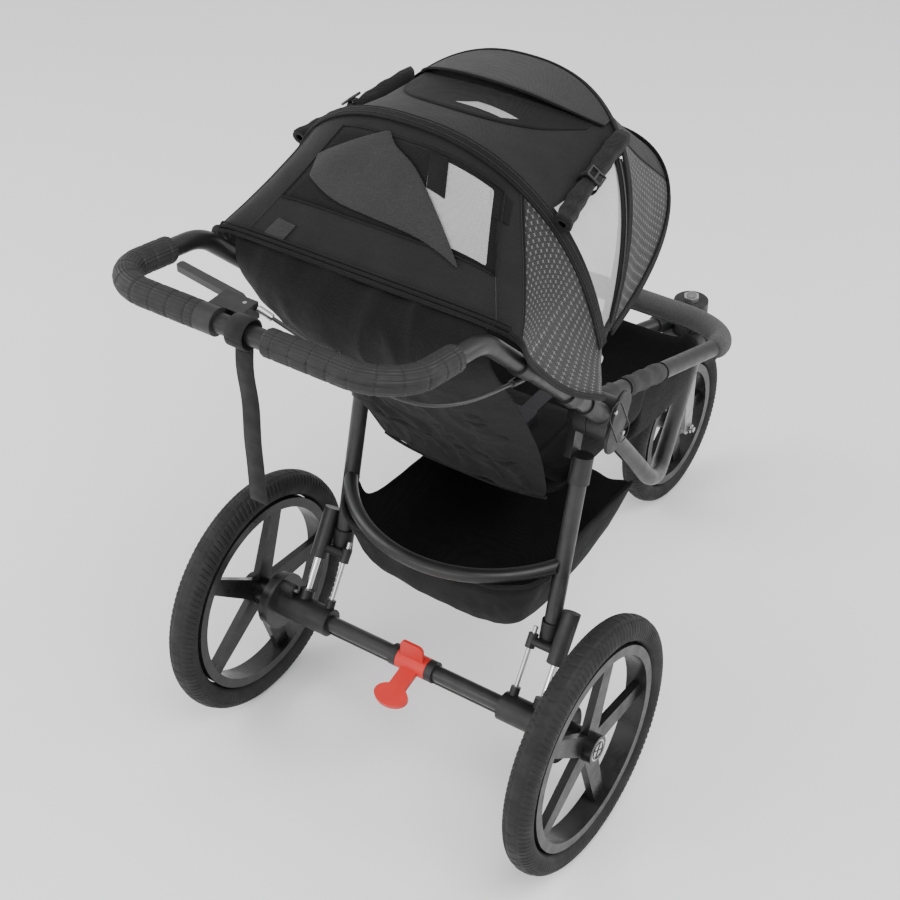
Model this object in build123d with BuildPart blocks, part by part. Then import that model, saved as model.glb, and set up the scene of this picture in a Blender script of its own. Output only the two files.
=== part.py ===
"""Three-wheeled folding jogging stroller with a padded seat, a folding canopy and a storage basket.

+X is the stroller's own left, -Y is forward, +Z is up and the floor is Z = 0. Millimetres.
The frame is mirrored about X = 0. Each function builds one kind of piece and writes its file.
"""

import os
from math import asin, atan2, cos, degrees, pi, radians, sin, tan

from build123d import *

os.makedirs("parts", exist_ok=True)

# ---- Wheels -------------------------------------------------------------------------------
REAR_WHEEL_DIA = 400
REAR_TYRE_WIDTH = 45
REAR_TRACK = 596
REAR_AXLE_Y = 312
FRONT_WHEEL_DIA = 304
FRONT_TYRE_WIDTH = 42
FRONT_AXLE_Y = -488.5
TYRE_WALL = 4
RIM_DEPTH = 15
SPOKES = 5
STUB_AXLE_DIA = 12
BEARING_DIA = 28
BEARING_WIDTH = 8

# ---- Frame tubes --------------------------------------------------------------------------
TUBE_WALL = 1.5
HANDLE_TUBE_DIA = 25
RING_TUBE_DIA = 26
DOWN_TUBE_DIA = 26
LEG_TUBE_DIA = 25
CROSSBAR_DIA = 22
AXLE_TUBE_DIA = 25

# ---- Fold hinge: one axis across the frame that the handle and the rear legs turn about ------
HINGE_Y = 142
HINGE_Z = 640
HINGE_BOLT_DIA = 10
KNUCKLE_DIA = 64
RUNNING_GAP = 0.06
CLEARANCE = 0.5

# ---- Handle -------------------------------------------------------------------------------
HANDLE_X = 212
HANDLE_BEND_Y = 450
HANDLE_BEND_Z = 942
HANDLE_END_Y = 621
HANDLE_END_Z = 973
HANDLE_CORNER_RADIUS = 65
HANDLE_BEND_RADIUS = 90
GRIP_DIA = 35
GRIP_START_Y = 508

# ---- Seat ring, the tube that runs round the front of the seat ---------------------------------
RING_HINGE_X = 180
RING_FRONT_X = 187
RING_START_Y = 112
RING_FRONT_Y = -338
RING_SLOPE = 17.9
RING_CORNER_RADIUS = 105

# ---- Rear legs, suspension and axle -----------------------------------------------------------
LEG_X = 187
LEG_FOOT_Y = 236
LEG_FOOT_Z = 285
CROSSBAR_Y = 209
CROSSBAR_Z = 410
CROSSBAR_BOW = 100
SHOCK_X = 214
SHOCK_FOOT_Y = 253
SHOCK_FOOT_Z = 289
SHOCK_BODY_DIA = 27
SHOCK_ROD_DIA = 10
AXLE_TUBE_END = 170
AXLE_BLOCK_IN = 157
AXLE_BLOCK_OUT = 247
BRAKE_PLATE_DIA = 92
BRAKE_PIN_DIA = 6
BRAKE_PIN_RADIUS = 34
BRAKE_SLOTS = 12
BRAKE_TRAVEL = 8

# ---- Front fork -----------------------------------------------------------------------------
SWIVEL_Y = -531
SWIVEL_LOW_Z = 330
SWIVEL_HIGH_Z = 388
SWIVEL_STEM_DIA = 18
FORK_BLADE_X = 31
FORK_BLADE_THICK = 8

# ---- Canopy arches: angle back from straight ahead, half width and height to the fabric's outside --
CANOPY_PIVOT_Y = 208
CANOPY_PIVOT_Z = 783
CANOPY_PIN_DIA = 6
BOW_THICK = 4
BOW_DEPTH = 12
BOW_INSET = 10
ARCH_ROUNDNESS = 2.35
REAR_ARCH = (104, 239, 318)
MID_ARCH = (55, 231, 343)
FRONT_ARCH = (13, 220, 412)
FABRIC_THICK = 1.6
FABRIC_START = 62
HEM_ROUNDNESS = 6
HEM_Y = 392
HEM_Z = 890
HEM_ARCH = (110, 236, 46)

# ---- Seat and basket ----------------------------------------------------------------------------
SEAT_HALF_WIDTH = 155
SEAT_FRONT_Y = -60
SEAT_REAR_Y = 128
SEAT_Z = 446
FOOTWELL_FRONT_Y = -303
FOOTWELL_Z = 396
FABRIC_WALL = 5
CUSHION_THICK = 18
CREASE_Y = 152
CREASE_Z = 470
BACKREST_TOP_Y = 404
BACKREST_TOP_Z = 856
BACKREST_HALF_WIDTH = 152
BACKREST_THICK = 24
BASKET_HALF_WIDTH = 152
BASKET_FRONT_Y = -70
BASKET_REAR_Y = 262
BASKET_FLOOR_Z = 238
BASKET_RIM_Z = 388

# ---- Worked out from the above ----------------------------------------------------------------
REAR_AXLE_Z = REAR_WHEEL_DIA / 2
FRONT_AXLE_Z = FRONT_WHEEL_DIA / 2
WHEEL_X = REAR_TRACK / 2
HANDLE_ANGLE = degrees(atan2(HANDLE_BEND_Z - HINGE_Z, HANDLE_BEND_Y - HINGE_Y))
LEG_ANGLE = degrees(atan2(LEG_FOOT_Z - HINGE_Z, LEG_FOOT_Y - HINGE_Y))
SHOCK_AXIS = Vector(0, REAR_AXLE_Y - SHOCK_FOOT_Y, REAR_AXLE_Z - SHOCK_FOOT_Z).normalized()


def from_hinge(distance, angle, x=0.0):
    """A point that far from the fold axis; the angle is from straight back (+Y), upwards."""
    turn = radians(angle)
    return Vector(x, HINGE_Y + distance * cos(turn), HINGE_Z + distance * sin(turn))


def on_shock(distance, x=SHOCK_X):
    """A point on the shock absorber's axis, measured down from the middle of its bracket."""
    return Vector(x, SHOCK_FOOT_Y, SHOCK_FOOT_Z) + SHOCK_AXIS * distance


def ring_z(y):
    """Height of the seat ring's centre line at that Y."""
    return HINGE_Z + (y - RING_START_Y) * tan(radians(RING_SLOPE))


def finish(part, name):
    part.label = name
    export_step(part, f"parts/{name}.step")
    return part


def finish_pair(left, name):
    """Write a left-hand piece and its mirror image as two nodes."""
    finish(left, f"{name}_left")
    finish(mirror(left, about=Plane.YZ), f"{name}_right")


def finish_both(left, name):
    """Write a left-hand piece and its mirror image as two solids of one node."""
    finish(Compound(children=[*left.solids(), *mirror(left, about=Plane.YZ).solids()]), name)


def bar(start, end, diameter, mode=Mode.ADD):
    """A round bar between two points, in the part that is being built."""
    run = Vector(*end) - Vector(*start)
    with BuildSketch(Plane(origin=start, z_dir=run)) as section:
        Circle(diameter / 2)
    extrude(section.sketch, amount=run.length, mode=mode)


def disc(x_low, x_high, y, z, diameter, mode=Mode.ADD):
    """A disc whose axis runs along X, in the part that is being built."""
    bar((x_low, y, z), (x_high, y, z), diameter, mode)


def bent_tube(points, radii, diameter, inside):
    """A bent tube along a route with rounded corners; no inside makes a solid rod."""
    with BuildPart() as bent:
        with BuildLine() as route:
            FilletPolyline(*points, radius=radii)
        with BuildSketch(Plane(origin=route.line @ 0, z_dir=route.line % 0)):
            Circle(diameter / 2)
            if inside:
                Circle(inside / 2, mode=Mode.SUBTRACT)
        sweep()
    return bent.part


# ==== Base frame: fold knuckles, seat ring, down tubes and the front swivel housing ==============
KNUCKLE_IN_X = 176
KNUCKLE_OUT_X = 196
LEG_EYE_IN_X = 163
LEG_EYE_OUT_X = 175
UPPER_IN_X = 197
UPPER_OUT_X = 227
TUBE_START = 46
SOCKET_WALL = 3
SOCKET_DEPTH = 20
DOWN_KNEE = Vector(190, SEAT_FRONT_Y, 380)
DOWN_END = Vector(36, -503, 345)
DOWN_BEND_RADIUS = 110
SWIVEL_HOUSING_DIA = 60
SWIVEL_BUSH_DIA = 26
SWIVEL_BUSH_LENGTH = 15
BOLT_HEAD_DIA = 18

RING_START = Vector(RING_HINGE_X, HINGE_Y - TUBE_START, ring_z(HINGE_Y - TUBE_START))
RING_CORNER = Vector(RING_FRONT_X, RING_FRONT_Y, ring_z(RING_FRONT_Y))
DOWN_ANGLE = degrees(atan2(DOWN_KNEE.Z - HINGE_Z, DOWN_KNEE.Y - HINGE_Y))
DOWN_START = from_hinge(TUBE_START, DOWN_ANGLE, (KNUCKLE_IN_X + KNUCKLE_OUT_X) / 2)


def towards(start, end, distance):
    """The point that far from start on the line to end."""
    return start + (end - start).normalized() * distance


def across(point):
    """The same point on the other side of the frame."""
    return Vector(-point.X, point.Y, point.Z)


def socket(start, end, diameter, reach):
    """A sleeve round the end of a tube that begins at start and runs towards end."""
    bar(towards(start, end, -reach), towards(start, end, SOCKET_DEPTH), diameter + 2 * SOCKET_WALL)
    bar(start, towards(start, end, SOCKET_DEPTH + CLEARANCE), diameter, Mode.SUBTRACT)


with BuildPart() as base_knuckle:
    disc(KNUCKLE_IN_X, KNUCKLE_OUT_X, HINGE_Y, HINGE_Z, KNUCKLE_DIA)
    socket(RING_START, RING_CORNER, RING_TUBE_DIA, TUBE_START / 2)
    socket(DOWN_START, DOWN_KNEE, DOWN_TUBE_DIA, TUBE_START / 2)
    disc(LEG_EYE_IN_X, KNUCKLE_IN_X, HINGE_Y, HINGE_Z, 2 * KNUCKLE_DIA, Mode.SUBTRACT)
    disc(KNUCKLE_OUT_X, UPPER_OUT_X, HINGE_Y, HINGE_Z, 2 * KNUCKLE_DIA, Mode.SUBTRACT)
    disc(LEG_EYE_IN_X, UPPER_OUT_X, HINGE_Y, HINGE_Z, HINGE_BOLT_DIA, Mode.SUBTRACT)
finish_both(base_knuckle.part, "hinge_knuckles")

ring_route = [RING_START, RING_CORNER, across(RING_CORNER), across(RING_START)]
ring_tube = bent_tube(ring_route, RING_CORNER_RADIUS, RING_TUBE_DIA, RING_TUBE_DIA - 2 * TUBE_WALL)
finish(ring_tube, "seat_ring_tube")

down_route = [DOWN_START, DOWN_KNEE, DOWN_END]
down_tube = bent_tube(down_route, DOWN_BEND_RADIUS, DOWN_TUBE_DIA, DOWN_TUBE_DIA - 2 * TUBE_WALL)
finish_both(down_tube, "down_tubes")

with BuildPart() as swivel_housing:
    bar((0, SWIVEL_Y, SWIVEL_LOW_Z), (0, SWIVEL_Y, SWIVEL_HIGH_Z), SWIVEL_HOUSING_DIA)
    for end, knee in [(DOWN_END, DOWN_KNEE), (across(DOWN_END), across(DOWN_KNEE))]:
        socket(end, knee, DOWN_TUBE_DIA, SWIVEL_HOUSING_DIA / 3)
    with Locations((0, SWIVEL_Y, SWIVEL_LOW_Z)):
        Box(400, 400, 100, align=(Align.CENTER, Align.CENTER, Align.MAX), mode=Mode.SUBTRACT)
    bar((0, SWIVEL_Y, SWIVEL_LOW_Z), (0, SWIVEL_Y, SWIVEL_HIGH_Z), SWIVEL_BUSH_DIA, Mode.SUBTRACT)
finish(swivel_housing.part, "swivel_housing")

with BuildPart() as swivel_bushes:
    for low in (SWIVEL_LOW_Z, SWIVEL_HIGH_Z - SWIVEL_BUSH_LENGTH):
        bar((0, SWIVEL_Y, low), (0, SWIVEL_Y, low + SWIVEL_BUSH_LENGTH), SWIVEL_BUSH_DIA)
    bar(
        (0, SWIVEL_Y, SWIVEL_LOW_Z),
        (0, SWIVEL_Y, SWIVEL_HIGH_Z),
        SWIVEL_STEM_DIA + 2 * RUNNING_GAP,
        Mode.SUBTRACT,
    )
finish(swivel_bushes.part, "swivel_bushes")

BOLT_HEAD_THICK = 5
with BuildPart() as hinge_bolt:
    disc(LEG_EYE_IN_X - 6, UPPER_OUT_X - BOLT_HEAD_THICK, HINGE_Y, HINGE_Z, HINGE_BOLT_DIA)
    disc(LEG_EYE_IN_X - 6, LEG_EYE_IN_X - CLEARANCE, HINGE_Y, HINGE_Z, BOLT_HEAD_DIA)
    disc(UPPER_OUT_X - 7 + CLEARANCE, UPPER_OUT_X - 2, HINGE_Y, HINGE_Z, BOLT_HEAD_DIA)
finish_both(hinge_bolt.part, "hinge_bolts")


# ==== Handle: one bent tube, its hinge sockets, foam grip and fittings ==============================
HANDLE_START = from_hinge(TUBE_START - 8, HANDLE_ANGLE, HANDLE_X)
HANDLE_BEND = Vector(HANDLE_X, HANDLE_BEND_Y, HANDLE_BEND_Z)
HANDLE_END = Vector(HANDLE_X, HANDLE_END_Y, HANDLE_END_Z)
HANDLE_SLOPE = degrees(atan2(HANDLE_END_Z - HANDLE_BEND_Z, HANDLE_END_Y - HANDLE_BEND_Y))
GRIP_START = towards(HANDLE_BEND, HANDLE_END, (GRIP_START_Y - HANDLE_BEND_Y) / cos(radians(HANDLE_SLOPE)))

handle_route = [HANDLE_START, HANDLE_BEND, HANDLE_END]
handle_route += [across(point) for point in reversed(handle_route)]
handle_radii = [HANDLE_BEND_RADIUS, HANDLE_CORNER_RADIUS, HANDLE_CORNER_RADIUS, HANDLE_BEND_RADIUS]
handle_tube = bent_tube(handle_route, handle_radii, HANDLE_TUBE_DIA, HANDLE_TUBE_DIA - 2 * TUBE_WALL)
finish(handle_tube, "handle_tube")

LEVER_CLAMP_IN_X = 36
LEVER_CLAMP_OUT_X = 62


def handle_grip(side, middle_x):
    """Foam over one corner of the handlebar, from its side tube to a point near the middle."""
    route_points = [
        Vector(side * GRIP_START.X, GRIP_START.Y, GRIP_START.Z),
        Vector(side * HANDLE_END.X, HANDLE_END.Y, HANDLE_END.Z),
        Vector(middle_x, HANDLE_END_Y, HANDLE_END_Z),
    ]
    return bent_tube(route_points, HANDLE_CORNER_RADIUS, GRIP_DIA, HANDLE_TUBE_DIA)


grips = [
    handle_grip(1, LEVER_CLAMP_OUT_X + CLEARANCE),
    handle_grip(-1, LEVER_CLAMP_IN_X - CLEARANCE),
]
finish(Compound(children=grips), "handle_grips")

HANDLE_SOCKET_END = 92
with BuildPart() as handle_knuckle:
    disc(UPPER_IN_X, UPPER_OUT_X, HINGE_Y, HINGE_Z, KNUCKLE_DIA)
    bar(
        from_hinge(10, HANDLE_ANGLE, HANDLE_X),
        from_hinge(HANDLE_SOCKET_END, HANDLE_ANGLE, HANDLE_X),
        HANDLE_TUBE_DIA + 2 * SOCKET_WALL - 1,
    )
    bar(HANDLE_START, HANDLE_BEND, HANDLE_TUBE_DIA, Mode.SUBTRACT)
    disc(UPPER_IN_X - 20, UPPER_IN_X, HINGE_Y, HINGE_Z, KNUCKLE_DIA + 20, Mode.SUBTRACT)
    disc(UPPER_IN_X, UPPER_OUT_X, HINGE_Y, HINGE_Z, HINGE_BOLT_DIA + 2 * RUNNING_GAP, Mode.SUBTRACT)
    disc(UPPER_OUT_X - 7, UPPER_OUT_X, HINGE_Y, HINGE_Z, BOLT_HEAD_DIA + 1, Mode.SUBTRACT)
finish_both(handle_knuckle.part, "handle_knuckles")

COVER_LENGTH = 94
COVER_WIDTH = 44
COVER_THICK = 4
COVER_LEAN = 64
with BuildPart() as hinge_cover:
    with BuildSketch(Plane(origin=(UPPER_OUT_X, HINGE_Y, HINGE_Z), x_dir=(0, 1, 0), z_dir=(1, 0, 0))):
        SlotOverall(COVER_LENGTH, COVER_WIDTH, rotation=180 - COVER_LEAN)
    extrude(amount=COVER_THICK)
    outer_face = hinge_cover.faces().sort_by(Axis.X)[-1]
    chamfer(outer_face.edges(), length=1.5)
finish_both(hinge_cover.part, "hinge_covers")


# ==== Rear legs: top fittings, tubes, crossbar and the brackets that hold the shock absorbers =======
LEG_TUBE_START = 72
LEG_SOCKET_END = 108
LEG_SOCKET_IN = 66
LEG_EYE_WIDTH = 26
SHOCK_BODY_TOP = -62
SHOCK_BODY_END = 18
SHOCK_CAVITY_DIA = 20
SHOCK_CAP = 5
SHOCK_HEAD_THICK = 6
SHOCK_HEAD_PLACE = -10
GUIDE_X = 168
GUIDE_ROD_DIA = 7
GUIDE_BOSS_DIA = 15
GUIDE_BOSS_HALF = 11
LEG_START = from_hinge(LEG_TUBE_START, LEG_ANGLE, LEG_X)
LEG_END = Vector(LEG_X, LEG_FOOT_Y, LEG_FOOT_Z)
AXLE_ALONG_SHOCK = (Vector(0, REAR_AXLE_Y, REAR_AXLE_Z) - Vector(0, SHOCK_FOOT_Y, SHOCK_FOOT_Z)).length

with BuildPart() as leg_top:
    disc(LEG_EYE_IN_X, LEG_EYE_OUT_X, HINGE_Y, HINGE_Z, 1.8 * LEG_EYE_WIDTH)
    leg_side = Plane(
        origin=(LEG_EYE_IN_X, HINGE_Y, HINGE_Z), x_dir=(LEG_END - LEG_START), z_dir=(1, 0, 0)
    )
    with BuildSketch(leg_side) as arm:
        with Locations((LEG_TUBE_START / 2, 0)):
            Rectangle(LEG_TUBE_START, LEG_EYE_WIDTH)
    extrude(arm.sketch, amount=LEG_EYE_OUT_X - LEG_EYE_IN_X)
    bar(
        from_hinge(LEG_SOCKET_IN, LEG_ANGLE, LEG_X),
        from_hinge(LEG_SOCKET_END, LEG_ANGLE, LEG_X),
        LEG_TUBE_DIA + 2 * SOCKET_WALL,
    )
    bar(LEG_START, LEG_END, LEG_TUBE_DIA, Mode.SUBTRACT)
    disc(
        LEG_EYE_IN_X, LEG_EYE_OUT_X, HINGE_Y, HINGE_Z, HINGE_BOLT_DIA + 2 * RUNNING_GAP, Mode.SUBTRACT
    )
finish_both(leg_top.part, "leg_tops")

with BuildPart() as leg_tube:
    bar(LEG_START, LEG_END, LEG_TUBE_DIA)
    bar(LEG_START, LEG_END, LEG_TUBE_DIA - 2 * TUBE_WALL, Mode.SUBTRACT)
finish_both(leg_tube.part, "rear_legs")

with BuildPart() as shock_bracket:
    bar(towards(LEG_END, LEG_START, 34), towards(LEG_END, LEG_START, -8), LEG_TUBE_DIA + 2 * SOCKET_WALL)
    bar(on_shock(SHOCK_BODY_TOP), on_shock(SHOCK_BODY_END), SHOCK_BODY_DIA)
    bar(on_shock(-GUIDE_BOSS_HALF, GUIDE_X), on_shock(GUIDE_BOSS_HALF, GUIDE_X), GUIDE_BOSS_DIA)
    bar(on_shock(0, GUIDE_X), on_shock(0), GUIDE_BOSS_DIA - 1)
    bar(LEG_END, LEG_START, LEG_TUBE_DIA, Mode.SUBTRACT)
    bar(
        on_shock(SHOCK_BODY_TOP + SHOCK_CAP),
        on_shock(SHOCK_BODY_END - SHOCK_CAP),
        SHOCK_CAVITY_DIA,
        Mode.SUBTRACT,
    )
    bar(on_shock(0), on_shock(SHOCK_BODY_END), SHOCK_ROD_DIA + 2 * RUNNING_GAP, Mode.SUBTRACT)
    bar(
        on_shock(-2 * GUIDE_BOSS_HALF, GUIDE_X),
        on_shock(2 * GUIDE_BOSS_HALF, GUIDE_X),
        GUIDE_ROD_DIA + 2 * RUNNING_GAP,
        Mode.SUBTRACT,
    )
finish_both(shock_bracket.part, "shock_brackets")

CROSSBAR_END = Vector(LEG_X, CROSSBAR_Y - 4, CROSSBAR_Z)
CROSSBAR_MIDDLE = Vector(0, CROSSBAR_Y + CROSSBAR_BOW, CROSSBAR_Z - 8)
with BuildPart() as crossbar:
    with BuildLine() as crossbar_route:
        ThreePointArc(CROSSBAR_END, CROSSBAR_MIDDLE, across(CROSSBAR_END))
    with BuildSketch(Plane(origin=crossbar_route.line @ 0, z_dir=crossbar_route.line % 0)):
        Circle(CROSSBAR_DIA / 2)
        Circle(CROSSBAR_DIA / 2 - TUBE_WALL, mode=Mode.SUBTRACT)
    sweep()
    bar(LEG_START, LEG_END, LEG_TUBE_DIA, Mode.SUBTRACT)
    bar(across(LEG_START), across(LEG_END), LEG_TUBE_DIA, Mode.SUBTRACT)
    with Locations((LEG_X + 50, CROSSBAR_Y, CROSSBAR_Z), (-LEG_X - 50, CROSSBAR_Y, CROSSBAR_Z)):
        Box(100, 100, 100, mode=Mode.SUBTRACT)
finish(crossbar.part, "crossbar")


# ==== Rear axle: tube, end blocks, shock rods, stub axles, brake plates, pins and pedal ============
AXLE_BLOCK_DIA = 44
SHOCK_BOSS_DIA = 24
SHOCK_BOSS_REACH = 34
ROD_DEPTH = 12
STUB_IN_X = 200
STUB_OUT_X = 306
BRAKE_PLATE_THICK = 5
BRAKE_LUG_DIA = 17
BRAKE_LUG_IN_X = 225
PIN_IN_X = 219
PEDAL_HALF_WIDTH = 26
PEDAL_SADDLE_DIA = 34
COLLAR_LENGTH = 12
AXLE_CABLE_DIA = 5
AXLE_CABLE_DROP = 21
PIN_Z = REAR_AXLE_Z + BRAKE_PIN_RADIUS

with BuildPart() as axle_tube:
    disc(-AXLE_TUBE_END, AXLE_TUBE_END, REAR_AXLE_Y, REAR_AXLE_Z, AXLE_TUBE_DIA)
    disc(
        -AXLE_TUBE_END,
        AXLE_TUBE_END,
        REAR_AXLE_Y,
        REAR_AXLE_Z,
        AXLE_TUBE_DIA - 2 * TUBE_WALL,
        Mode.SUBTRACT,
    )
finish(axle_tube.part, "rear_axle_tube")

with BuildPart() as axle_block:
    disc(AXLE_BLOCK_IN, AXLE_BLOCK_OUT, REAR_AXLE_Y, REAR_AXLE_Z, AXLE_BLOCK_DIA)
    bar(on_shock(AXLE_ALONG_SHOCK - SHOCK_BOSS_REACH), on_shock(AXLE_ALONG_SHOCK), SHOCK_BOSS_DIA)
    bar(
        on_shock(AXLE_ALONG_SHOCK - SHOCK_BOSS_REACH, GUIDE_X),
        on_shock(AXLE_ALONG_SHOCK, GUIDE_X),
        GUIDE_BOSS_DIA,
    )
    disc(BRAKE_LUG_IN_X, AXLE_BLOCK_OUT, REAR_AXLE_Y, PIN_Z, BRAKE_LUG_DIA)
    with Locations(((BRAKE_LUG_IN_X + AXLE_BLOCK_OUT) / 2, REAR_AXLE_Y, PIN_Z)):
        Box(
            AXLE_BLOCK_OUT - BRAKE_LUG_IN_X,
            BRAKE_LUG_DIA - 4,
            BRAKE_PIN_RADIUS / 2,
            align=(Align.CENTER, Align.CENTER, Align.MAX),
        )
    disc(AXLE_BLOCK_IN, AXLE_TUBE_END, REAR_AXLE_Y, REAR_AXLE_Z, AXLE_TUBE_DIA, Mode.SUBTRACT)
    disc(STUB_IN_X, AXLE_BLOCK_OUT, REAR_AXLE_Y, REAR_AXLE_Z, STUB_AXLE_DIA, Mode.SUBTRACT)
    for x, bore in [(SHOCK_X, SHOCK_ROD_DIA), (GUIDE_X, GUIDE_ROD_DIA)]:
        bar(
            on_shock(AXLE_ALONG_SHOCK - SHOCK_BOSS_REACH, x),
            on_shock(AXLE_ALONG_SHOCK - SHOCK_BOSS_REACH + ROD_DEPTH, x),
            bore,
            Mode.SUBTRACT,
        )
    disc(
        BRAKE_LUG_IN_X,
        AXLE_BLOCK_OUT,
        REAR_AXLE_Y,
        PIN_Z,
        BRAKE_PIN_DIA + 2 * RUNNING_GAP,
        Mode.SUBTRACT,
    )
finish_both(axle_block.part, "axle_blocks")

with BuildPart() as shock_rod:
    rod_end = AXLE_ALONG_SHOCK - SHOCK_BOSS_REACH + ROD_DEPTH
    bar(on_shock(SHOCK_HEAD_PLACE), on_shock(rod_end), SHOCK_ROD_DIA)
    bar(
        on_shock(SHOCK_HEAD_PLACE - SHOCK_HEAD_THICK),
        on_shock(SHOCK_HEAD_PLACE),
        SHOCK_CAVITY_DIA - 2 * RUNNING_GAP,
    )
finish_both(shock_rod.part, "shock_rods")

with BuildPart() as guide_rod:
    bar(on_shock(-2 * GUIDE_BOSS_HALF, GUIDE_X), on_shock(rod_end, GUIDE_X), GUIDE_ROD_DIA)
finish_both(guide_rod.part, "guide_rods")

with BuildPart() as stub_axle:
    disc(STUB_IN_X, STUB_OUT_X, REAR_AXLE_Y, REAR_AXLE_Z, STUB_AXLE_DIA)
finish_both(stub_axle.part, "stub_axles")

BRAKE_PLATE_OUT = AXLE_BLOCK_OUT + BRAKE_PLATE_THICK
with BuildPart() as brake_plate:
    disc(AXLE_BLOCK_OUT, BRAKE_PLATE_OUT, REAR_AXLE_Y, REAR_AXLE_Z, BRAKE_PLATE_DIA)
    disc(AXLE_BLOCK_OUT, BRAKE_PLATE_OUT, REAR_AXLE_Y, REAR_AXLE_Z, STUB_AXLE_DIA, Mode.SUBTRACT)
    disc(
        AXLE_BLOCK_OUT,
        BRAKE_PLATE_OUT,
        REAR_AXLE_Y,
        PIN_Z,
        BRAKE_PIN_DIA + 2 * RUNNING_GAP,
        Mode.SUBTRACT,
    )
finish_both(brake_plate.part, "brake_plates")

with BuildPart() as brake_pin:
    disc(PIN_IN_X, BRAKE_PLATE_OUT - CLEARANCE, REAR_AXLE_Y, PIN_Z, BRAKE_PIN_DIA)
finish_pair(brake_pin.part, "brake_pin")

with BuildPart() as pedal_collar:
    collar_in = PEDAL_HALF_WIDTH + CLEARANCE
    disc(collar_in, collar_in + COLLAR_LENGTH, REAR_AXLE_Y, REAR_AXLE_Z, PEDAL_SADDLE_DIA)
    disc(collar_in, collar_in + COLLAR_LENGTH, REAR_AXLE_Y, REAR_AXLE_Z, AXLE_TUBE_DIA, Mode.SUBTRACT)
finish_both(pedal_collar.part, "pedal_collars")

with BuildPart() as axle_cable:
    cable_z = REAR_AXLE_Z - AXLE_CABLE_DROP
    disc(-AXLE_BLOCK_IN, AXLE_BLOCK_IN, REAR_AXLE_Y, cable_z, AXLE_CABLE_DIA)
finish(axle_cable.part, "axle_cable")

PADDLE_ANGLE = -15
PADDLE_LENGTH = 78
PADDLE_WIDTH = 56
PADDLE_THICK = 8
TAB_HEIGHT = 44
TAB_WIDTH = 40
TAB_THICK = 5
with BuildPart() as brake_pedal:
    disc(-PEDAL_HALF_WIDTH, PEDAL_HALF_WIDTH, REAR_AXLE_Y, REAR_AXLE_Z, PEDAL_SADDLE_DIA)
    paddle_normal = (0, -sin(radians(PADDLE_ANGLE)), cos(radians(PADDLE_ANGLE)))
    paddle_plane = Plane(origin=(0, REAR_AXLE_Y, REAR_AXLE_Z), x_dir=(1, 0, 0), z_dir=paddle_normal)
    with BuildSketch(paddle_plane.offset(-PADDLE_THICK / 2)) as paddle:
        with Locations((0, PADDLE_LENGTH / 2 - 4)):
            Rectangle(PADDLE_WIDTH / 2, PADDLE_LENGTH - 24)
        with Locations((0, PADDLE_LENGTH - PADDLE_WIDTH / 4)):
            Ellipse(PADDLE_WIDTH / 2, PADDLE_WIDTH / 3)
    extrude(paddle.sketch, amount=PADDLE_THICK)
    with BuildSketch(Plane(origin=(0, REAR_AXLE_Y + 8, REAR_AXLE_Z), x_dir=(1, 0, 0), z_dir=(0, -1, 0))) as tab:
        with Locations((0, TAB_HEIGHT / 2)):
            RectangleRounded(TAB_WIDTH, TAB_HEIGHT, 9)
    extrude(tab.sketch, amount=TAB_THICK)
    disc(
        -PEDAL_HALF_WIDTH,
        PEDAL_HALF_WIDTH,
        REAR_AXLE_Y,
        REAR_AXLE_Z,
        AXLE_TUBE_DIA + 2 * RUNNING_GAP,
        Mode.SUBTRACT,
    )
finish(brake_pedal.part, "brake_pedal")


# ==== Wheels: tyre, inner tube, moulded spoked wheel and its bearings ===============================
RIM_WIDTH = 34
HUB_DIA = 44
HUB_OUT_X = 318
BRAKE_RING_DIA = 88
BRAKE_RING_THICK = 12
BRAKE_SLOT_DIA = 9
WHEEL_SIDE_GAP = 1
SPOKE_THICK = 12
SPOKE_HUB_WIDTH = 34
SPOKE_RIM_WIDTH = 24
FRONT_HUB_HALF = 23
FRONT_AXLE_DIA = 10
FRONT_BEARING_DIA = 26
FRONT_HUB_DIA = 36
RIM_RISE = 5
WHEEL_IN_X = BRAKE_PLATE_OUT + WHEEL_SIDE_GAP
CAP_DIA = 34
CAP_THICK = 6
CAP_TRAVEL = 3


def across_plane(x, y, z):
    """A plane square to the X axis whose own X is backwards (+Y) and own Y is up."""
    return Plane(origin=(x, y, z), x_dir=(0, 1, 0), z_dir=(1, 0, 0))


def tyre(x, y, wheel_dia, width):
    """A hollow tyre, open towards the rim that it sits on."""
    z = wheel_dia / 2
    rim_radius = rim_radius_of(wheel_dia, width)
    with BuildPart() as ring:
        with BuildSketch(Plane(origin=(x, y, z), x_dir=(1, 0, 0), z_dir=(0, -1, 0))) as section:
            with Locations((0, wheel_dia / 2 - width / 2)):
                Circle(width / 2)
                Circle(width / 2 - TYRE_WALL, mode=Mode.SUBTRACT)
            with Locations((0, rim_radius)):
                Rectangle(2 * width, width, align=(Align.CENTER, Align.MAX), mode=Mode.SUBTRACT)
        revolve(section.sketch, axis=Axis((x, y, z), (1, 0, 0)))
    return ring.part


def rim_radius_of(wheel_dia, width):
    return wheel_dia / 2 - width + RIM_RISE


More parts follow.
